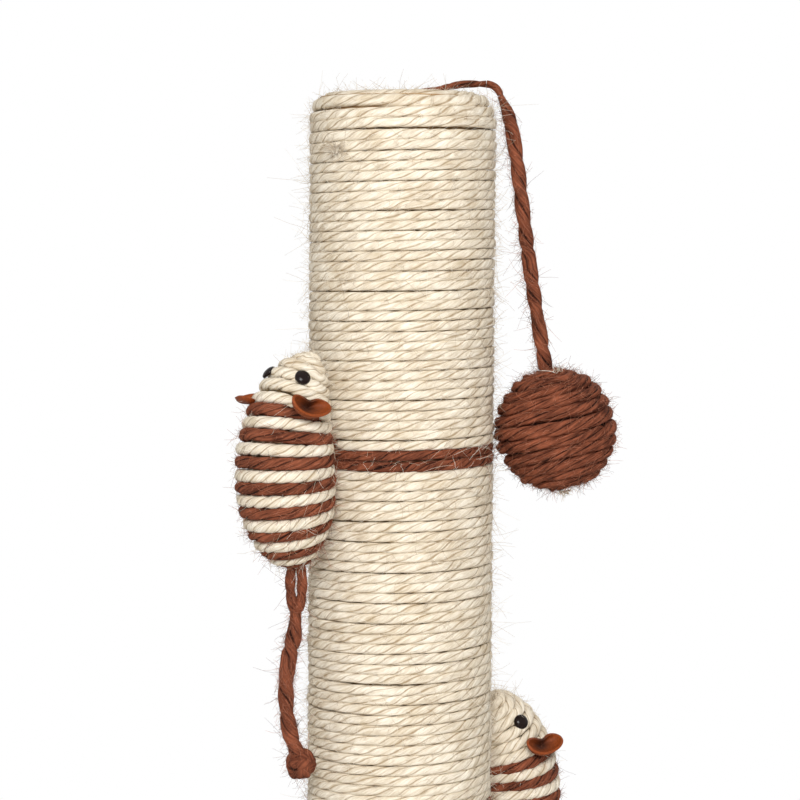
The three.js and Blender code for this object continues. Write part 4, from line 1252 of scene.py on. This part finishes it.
class FIBRES_OT_grow(bpy.types.Operator):
    """Stray fibres on the ropes, except the ties and the ball rope's stretches over the top and
    the rim
    """
    bl_idname = "scratching_post.fibres"
    bl_label = "Stray fibres"

    def execute(self, context):
        for k, (name, sources, count, reach, slot, body) in enumerate(STANDING):
            fibres(name, sources, count, reach, slot, body, 200 + k,
                   0.35 if body == "ball" else 0.6, FRONT, 0.8)
        for k, (name, sources, count, slot, body, outer) in enumerate(LYING):
            fibres(name, sources, count, 0.0062 if body == "post" else 0.0036, slot, body, 300 + k,
                   0.07, outer, 0.3)
        self.splice()
        self.pale_ends()
        for k, mouse in enumerate(MICE):
            for label, source, count, slot, ending, outer in ON_MOUSE:
                fibres(f"{mouse['name']}_{label}", (f"{mouse['name']}_{source}",), count, 0.0032,
                       slot, mouse["name"] + ending, 230 + 10 * k + len(label), 0.6, outer, 0.6)
        return {"FINISHED"}

    def pale_ends(self):
        """Pale fibres caught at the top and the bottom of the ball."""
        draw = np.random.default_rng(78)
        middle = np.array([BALL_X, 0, BALL_Z])
        for name, way, count, size in PALE_ENDS:
            out = unit(np.array(way))
            root = middle + unit(out + draw.normal(0, 0.07, (count, 3))) * (BALL_R + 0.0006)
            aim = unit(np.cross(out, draw.normal(0, 1, (count, 3))) + out * 0.9)
            reach = draw.uniform(0.6, 1.6, (count, 1)) * size
            sway = draw.normal(0, 0.35, (count, 3)) * reach
            strings(name, lines_from(root, aim, reach, sway), "sisal", "ball", draw,
                    PALE_FIBRE)

    def splice(self):
        """A tuft where two lengths of rope meet, near the top at the front left."""
        draw = np.random.default_rng(77)
        angle = math.radians(SPLICE_ANGLE)
        out = np.array([math.cos(angle), math.sin(angle), 0])
        side = np.array([-out[1], out[0], 0])
        up = np.array([0, 0, 1.0])
        one = (SPLICE_FIBRES, 1)
        root = (out * (POST_R + 0.0003) + [0, 0, SPLICE_Z] + side * draw.normal(0, 0.0022, one)
                + up * draw.normal(0, 0.0013, one))
        aim = unit(side * draw.normal(0, 1.0, one) + up * draw.normal(0, 0.6, one)
                   + out * draw.uniform(0.1, 0.9, one))
        reach = draw.uniform(0.002, 0.006, one)
        sway = draw.normal(0, 0.9, (SPLICE_FIBRES, 3)) * reach
        strings("post_splice_tuft", lines_from(root, aim, reach, sway), "sisal", "post", draw,
                SPLICE_FIBRE)


# ------------------------------------------------------------------ base

COVER_CORNER = 0.032
COVER_EDGE = 0.006
COVER_WALL = 0.0030
BOLT_HOLE = 0.0045
PILE_TUFTS = 5200
PILE_MARGIN = 0.004
PILE_CORNER = 0.030
PILE_FREE = 0.046  # no pile under the post
PILE_FIBRE = 0.0004
PILE_REACH = (0.0015, 0.0032)
PILE_TOP = BASE_TOP + 0.0022


class BASE_OT_cover(bpy.types.Operator):
    """The plush cover of the board, with rounded edges and a soft pile"""
    bl_idname = "scratching_post.base"
    bl_label = "Base"

    def execute(self, context):
        deselect()
        bpy.ops.mesh.primitive_cube_add(size=1, location=(0, 0, BASE_TOP / 2))
        piece = context.active_object
        piece.name = piece.data.name = "base_plush"
        piece.scale = (BASE_SIDE, BASE_SIDE, BASE_TOP)
        bpy.ops.object.transform_apply(location=True, rotation=False, scale=True)
        piece.data.materials.append(plush())
        self.pick_edges(piece, lambda a, b, faces: abs(a.z - b.z) > BASE_TOP / 2)
        bpy.ops.mesh.bevel(offset=COVER_CORNER, segments=8, affect="EDGES")
        self.pick_edges(piece, lambda a, b, faces: min(a.z, b.z) > BASE_TOP - 1e-5)
        bpy.ops.mesh.bevel(offset=COVER_EDGE, segments=5, affect="EDGES")
        self.pick_face(piece, -1)
        bpy.ops.mesh.delete(type="FACE")
        self.pick_face(piece, 1)
        bpy.ops.mesh.inset(thickness=0.005)
        bpy.ops.mesh.delete(type="FACE")
        bpy.ops.mesh.primitive_circle_add(vertices=36, radius=BOLT_HOLE,
                                          location=(0, 0, BASE_TOP))
        self.pick_edges(piece, lambda a, b, faces: faces < 2 and min(a.z, b.z) > BASE_TOP - 1e-5)
        bpy.ops.mesh.bridge_edge_loops()
        bpy.ops.mesh.select_all(action="SELECT")
        bpy.ops.mesh.normals_make_consistent(inside=False)
        bpy.ops.object.mode_set(mode="OBJECT")
        wall = piece.modifiers.new("wall", "SOLIDIFY")
        wall.thickness = COVER_WALL
        wall.offset = -1
        bpy.ops.object.modifier_apply(modifier=wall.name)
        bpy.ops.object.shade_smooth_by_angle(angle=0.7)
        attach(piece, "post")
        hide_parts("base_cover")
        self.pile()
        return {"FINISHED"}

    @staticmethod
    def clear_pick(kind):
        """Deselects everything, to select edges or faces by their place."""
        bpy.ops.object.mode_set(mode="EDIT")
        bpy.ops.mesh.select_mode(type=kind)
        bpy.ops.mesh.select_all(action="DESELECT")
        bpy.ops.object.mode_set(mode="OBJECT")

    def pick_edges(self, piece, test):
        """Selects the edges whose ends and number of faces pass the test, for edit mode."""
        self.clear_pick("EDGE")
        mesh = piece.data
        faces = {key: 0 for key in mesh.edge_keys}
        for face in mesh.polygons:
            for key in face.edge_keys:
                faces[key] += 1
        for edge in mesh.edges:
            edge.select = test(*(mesh.vertices[k].co for k in edge.vertices), faces[edge.key])
        bpy.ops.object.mode_set(mode="EDIT")

    def pick_face(self, piece, way):
        """Selects the large flat face that points up (1) or down (-1), for edit mode."""
        self.clear_pick("FACE")
        for face in piece.data.polygons:
            face.select = face.normal.z * way > 0.99 and face.area > 0.01
        bpy.ops.object.mode_set(mode="EDIT")

    def pile(self):
        """Short tufts that stand out of the cover's top."""
        draw = np.random.default_rng(17)
        half = BASE_SIDE / 2 - PILE_MARGIN
        place = draw.uniform(-half, half, (PILE_TUFTS, 2))
        over = np.maximum(np.abs(place) - (half - PILE_CORNER), 0)
        place = place[(np.hypot(over[:, 0], over[:, 1]) < PILE_CORNER)
                      & (np.hypot(place[:, 0], place[:, 1]) > PILE_FREE)]
        count = len(place)
        root = np.column_stack([place, np.full(count, BASE_TOP - 0.0004)])
        aim = unit(draw.normal(0, 0.55, (count, 3)) + [0.3, 0.1, 1.0])
        reach = draw.uniform(*PILE_REACH, (count, 1))
        line = lines_from(root, aim, reach, np.zeros((count, 3)), 3)
        line[..., 2] = np.minimum(line[..., 2], PILE_TOP)
        strings("base_pile", line, "plush", "post", draw, PILE_FIBRE)


# ------------------------------------------------------------------ what keeps its solid

# nodes, material, light and dark tone, roughness, scale of the grain, the rest
SOLID_LOOKS = (
    (("bottom_plug", "top_plug"), "turned_wood", (214, 184, 138), (176, 138, 92), 0.7, 90,
     {"stretch": (1, 9, 1), "Specular_IOR_Level": 0.35}),
    (("base_board",), "particle_board", (196, 160, 112), (142, 108, 70), 0.8, 420, {}),
    (("post_tube",), "tube_card", (178, 146, 104), (150, 118, 80), 0.9, 160,
     {"stretch": (1, 1, 6)}),
    (("base_backing",), "backing_cloth", (92, 87, 80), (66, 62, 57), 0.95, 900, {"bump": 0.6}),
    (("bolt_washer", "post_bolt", "tee_nut"), "zinc_steel", (206, 208, 210), (168, 170, 174),
     0.34, 260, {"bump": 0.05, "Metallic": 0.95}),
    (("ball_core",), "brown_filling", (92, 52, 38), (60, 32, 22), 0.95, 500, {"bump": 0.6}),
    (("mouse1_core", "mouse2_core"), "natural_filling", (206, 186, 152), (170, 148, 112), 0.95,
     500, {"bump": 0.6}),
)


class HARD_OT_finish(bpy.types.Operator):
    """Materials for the solids that keep their shape: board, tube, plugs, steel and cores"""
    bl_idname = "scratching_post.hard_parts"
    bl_label = "Hard parts"

    def execute(self, context):
        for nodes, name, light, dark, roughness, scale, rest in SOLID_LOOKS:
            material = grain_material(name, srgb(*light), srgb(*dark), roughness, scale, **rest)
            for node in nodes:
                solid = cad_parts[node]
                for slot in solid.material_slots:
                    slot.material = material
                if not solid.material_slots:
                    solid.data.materials.append(material)
        return {"FINISHED"}


# ------------------------------------------------------------------ the add-on


class POST_PT_panel(bpy.types.Panel):
    """Buttons for each step and the sizes and colours that they use"""
    bl_idname = "POST_PT_panel"
    bl_label = "Rope scratching post"
    bl_space_type = "VIEW_3D"
    bl_region_type = "UI"
    bl_category = "Post"

    def draw(self, context):
        for operator in STEPS:
            self.layout.operator(operator.bl_idname)
        for group in (context.scene.post_sizes, context.scene.post_colours):
            for name in group.__annotations__:
                self.layout.prop(group, name)


STEPS = (STAGE_OT_camera, BALL_ROPE_OT_hang, TAILS_OT_hang, POST_ROPE_OT_wind, BALL_OT_wind,
         MICE_OT_wind, FACES_OT_dress, TIES_OT_tie, FIBRES_OT_grow, BASE_OT_cover, HARD_OT_finish)
CLASSES = (RopeSizes, RopeColours, *STEPS, POST_PT_panel)


def register():
    for kind in CLASSES:
        bpy.utils.register_class(kind)
    bpy.types.Scene.post_sizes = bpy.props.PointerProperty(type=RopeSizes)
    bpy.types.Scene.post_colours = bpy.props.PointerProperty(type=RopeColours)


def unregister():
    del bpy.types.Scene.post_sizes
    del bpy.types.Scene.post_colours
    for kind in reversed(CLASSES):
        bpy.utils.unregister_class(kind)


def main():
    register()
    for step in (bpy.ops.scratching_post.stage, bpy.ops.scratching_post.ball_rope,
                 bpy.ops.scratching_post.tails, bpy.ops.scratching_post.post_rope,
                 bpy.ops.scratching_post.ball, bpy.ops.scratching_post.mice,
                 bpy.ops.scratching_post.faces, bpy.ops.scratching_post.ties,
                 bpy.ops.scratching_post.fibres, bpy.ops.scratching_post.base,
                 bpy.ops.scratching_post.hard_parts):
        step()


if __name__ == "__main__":
    main()
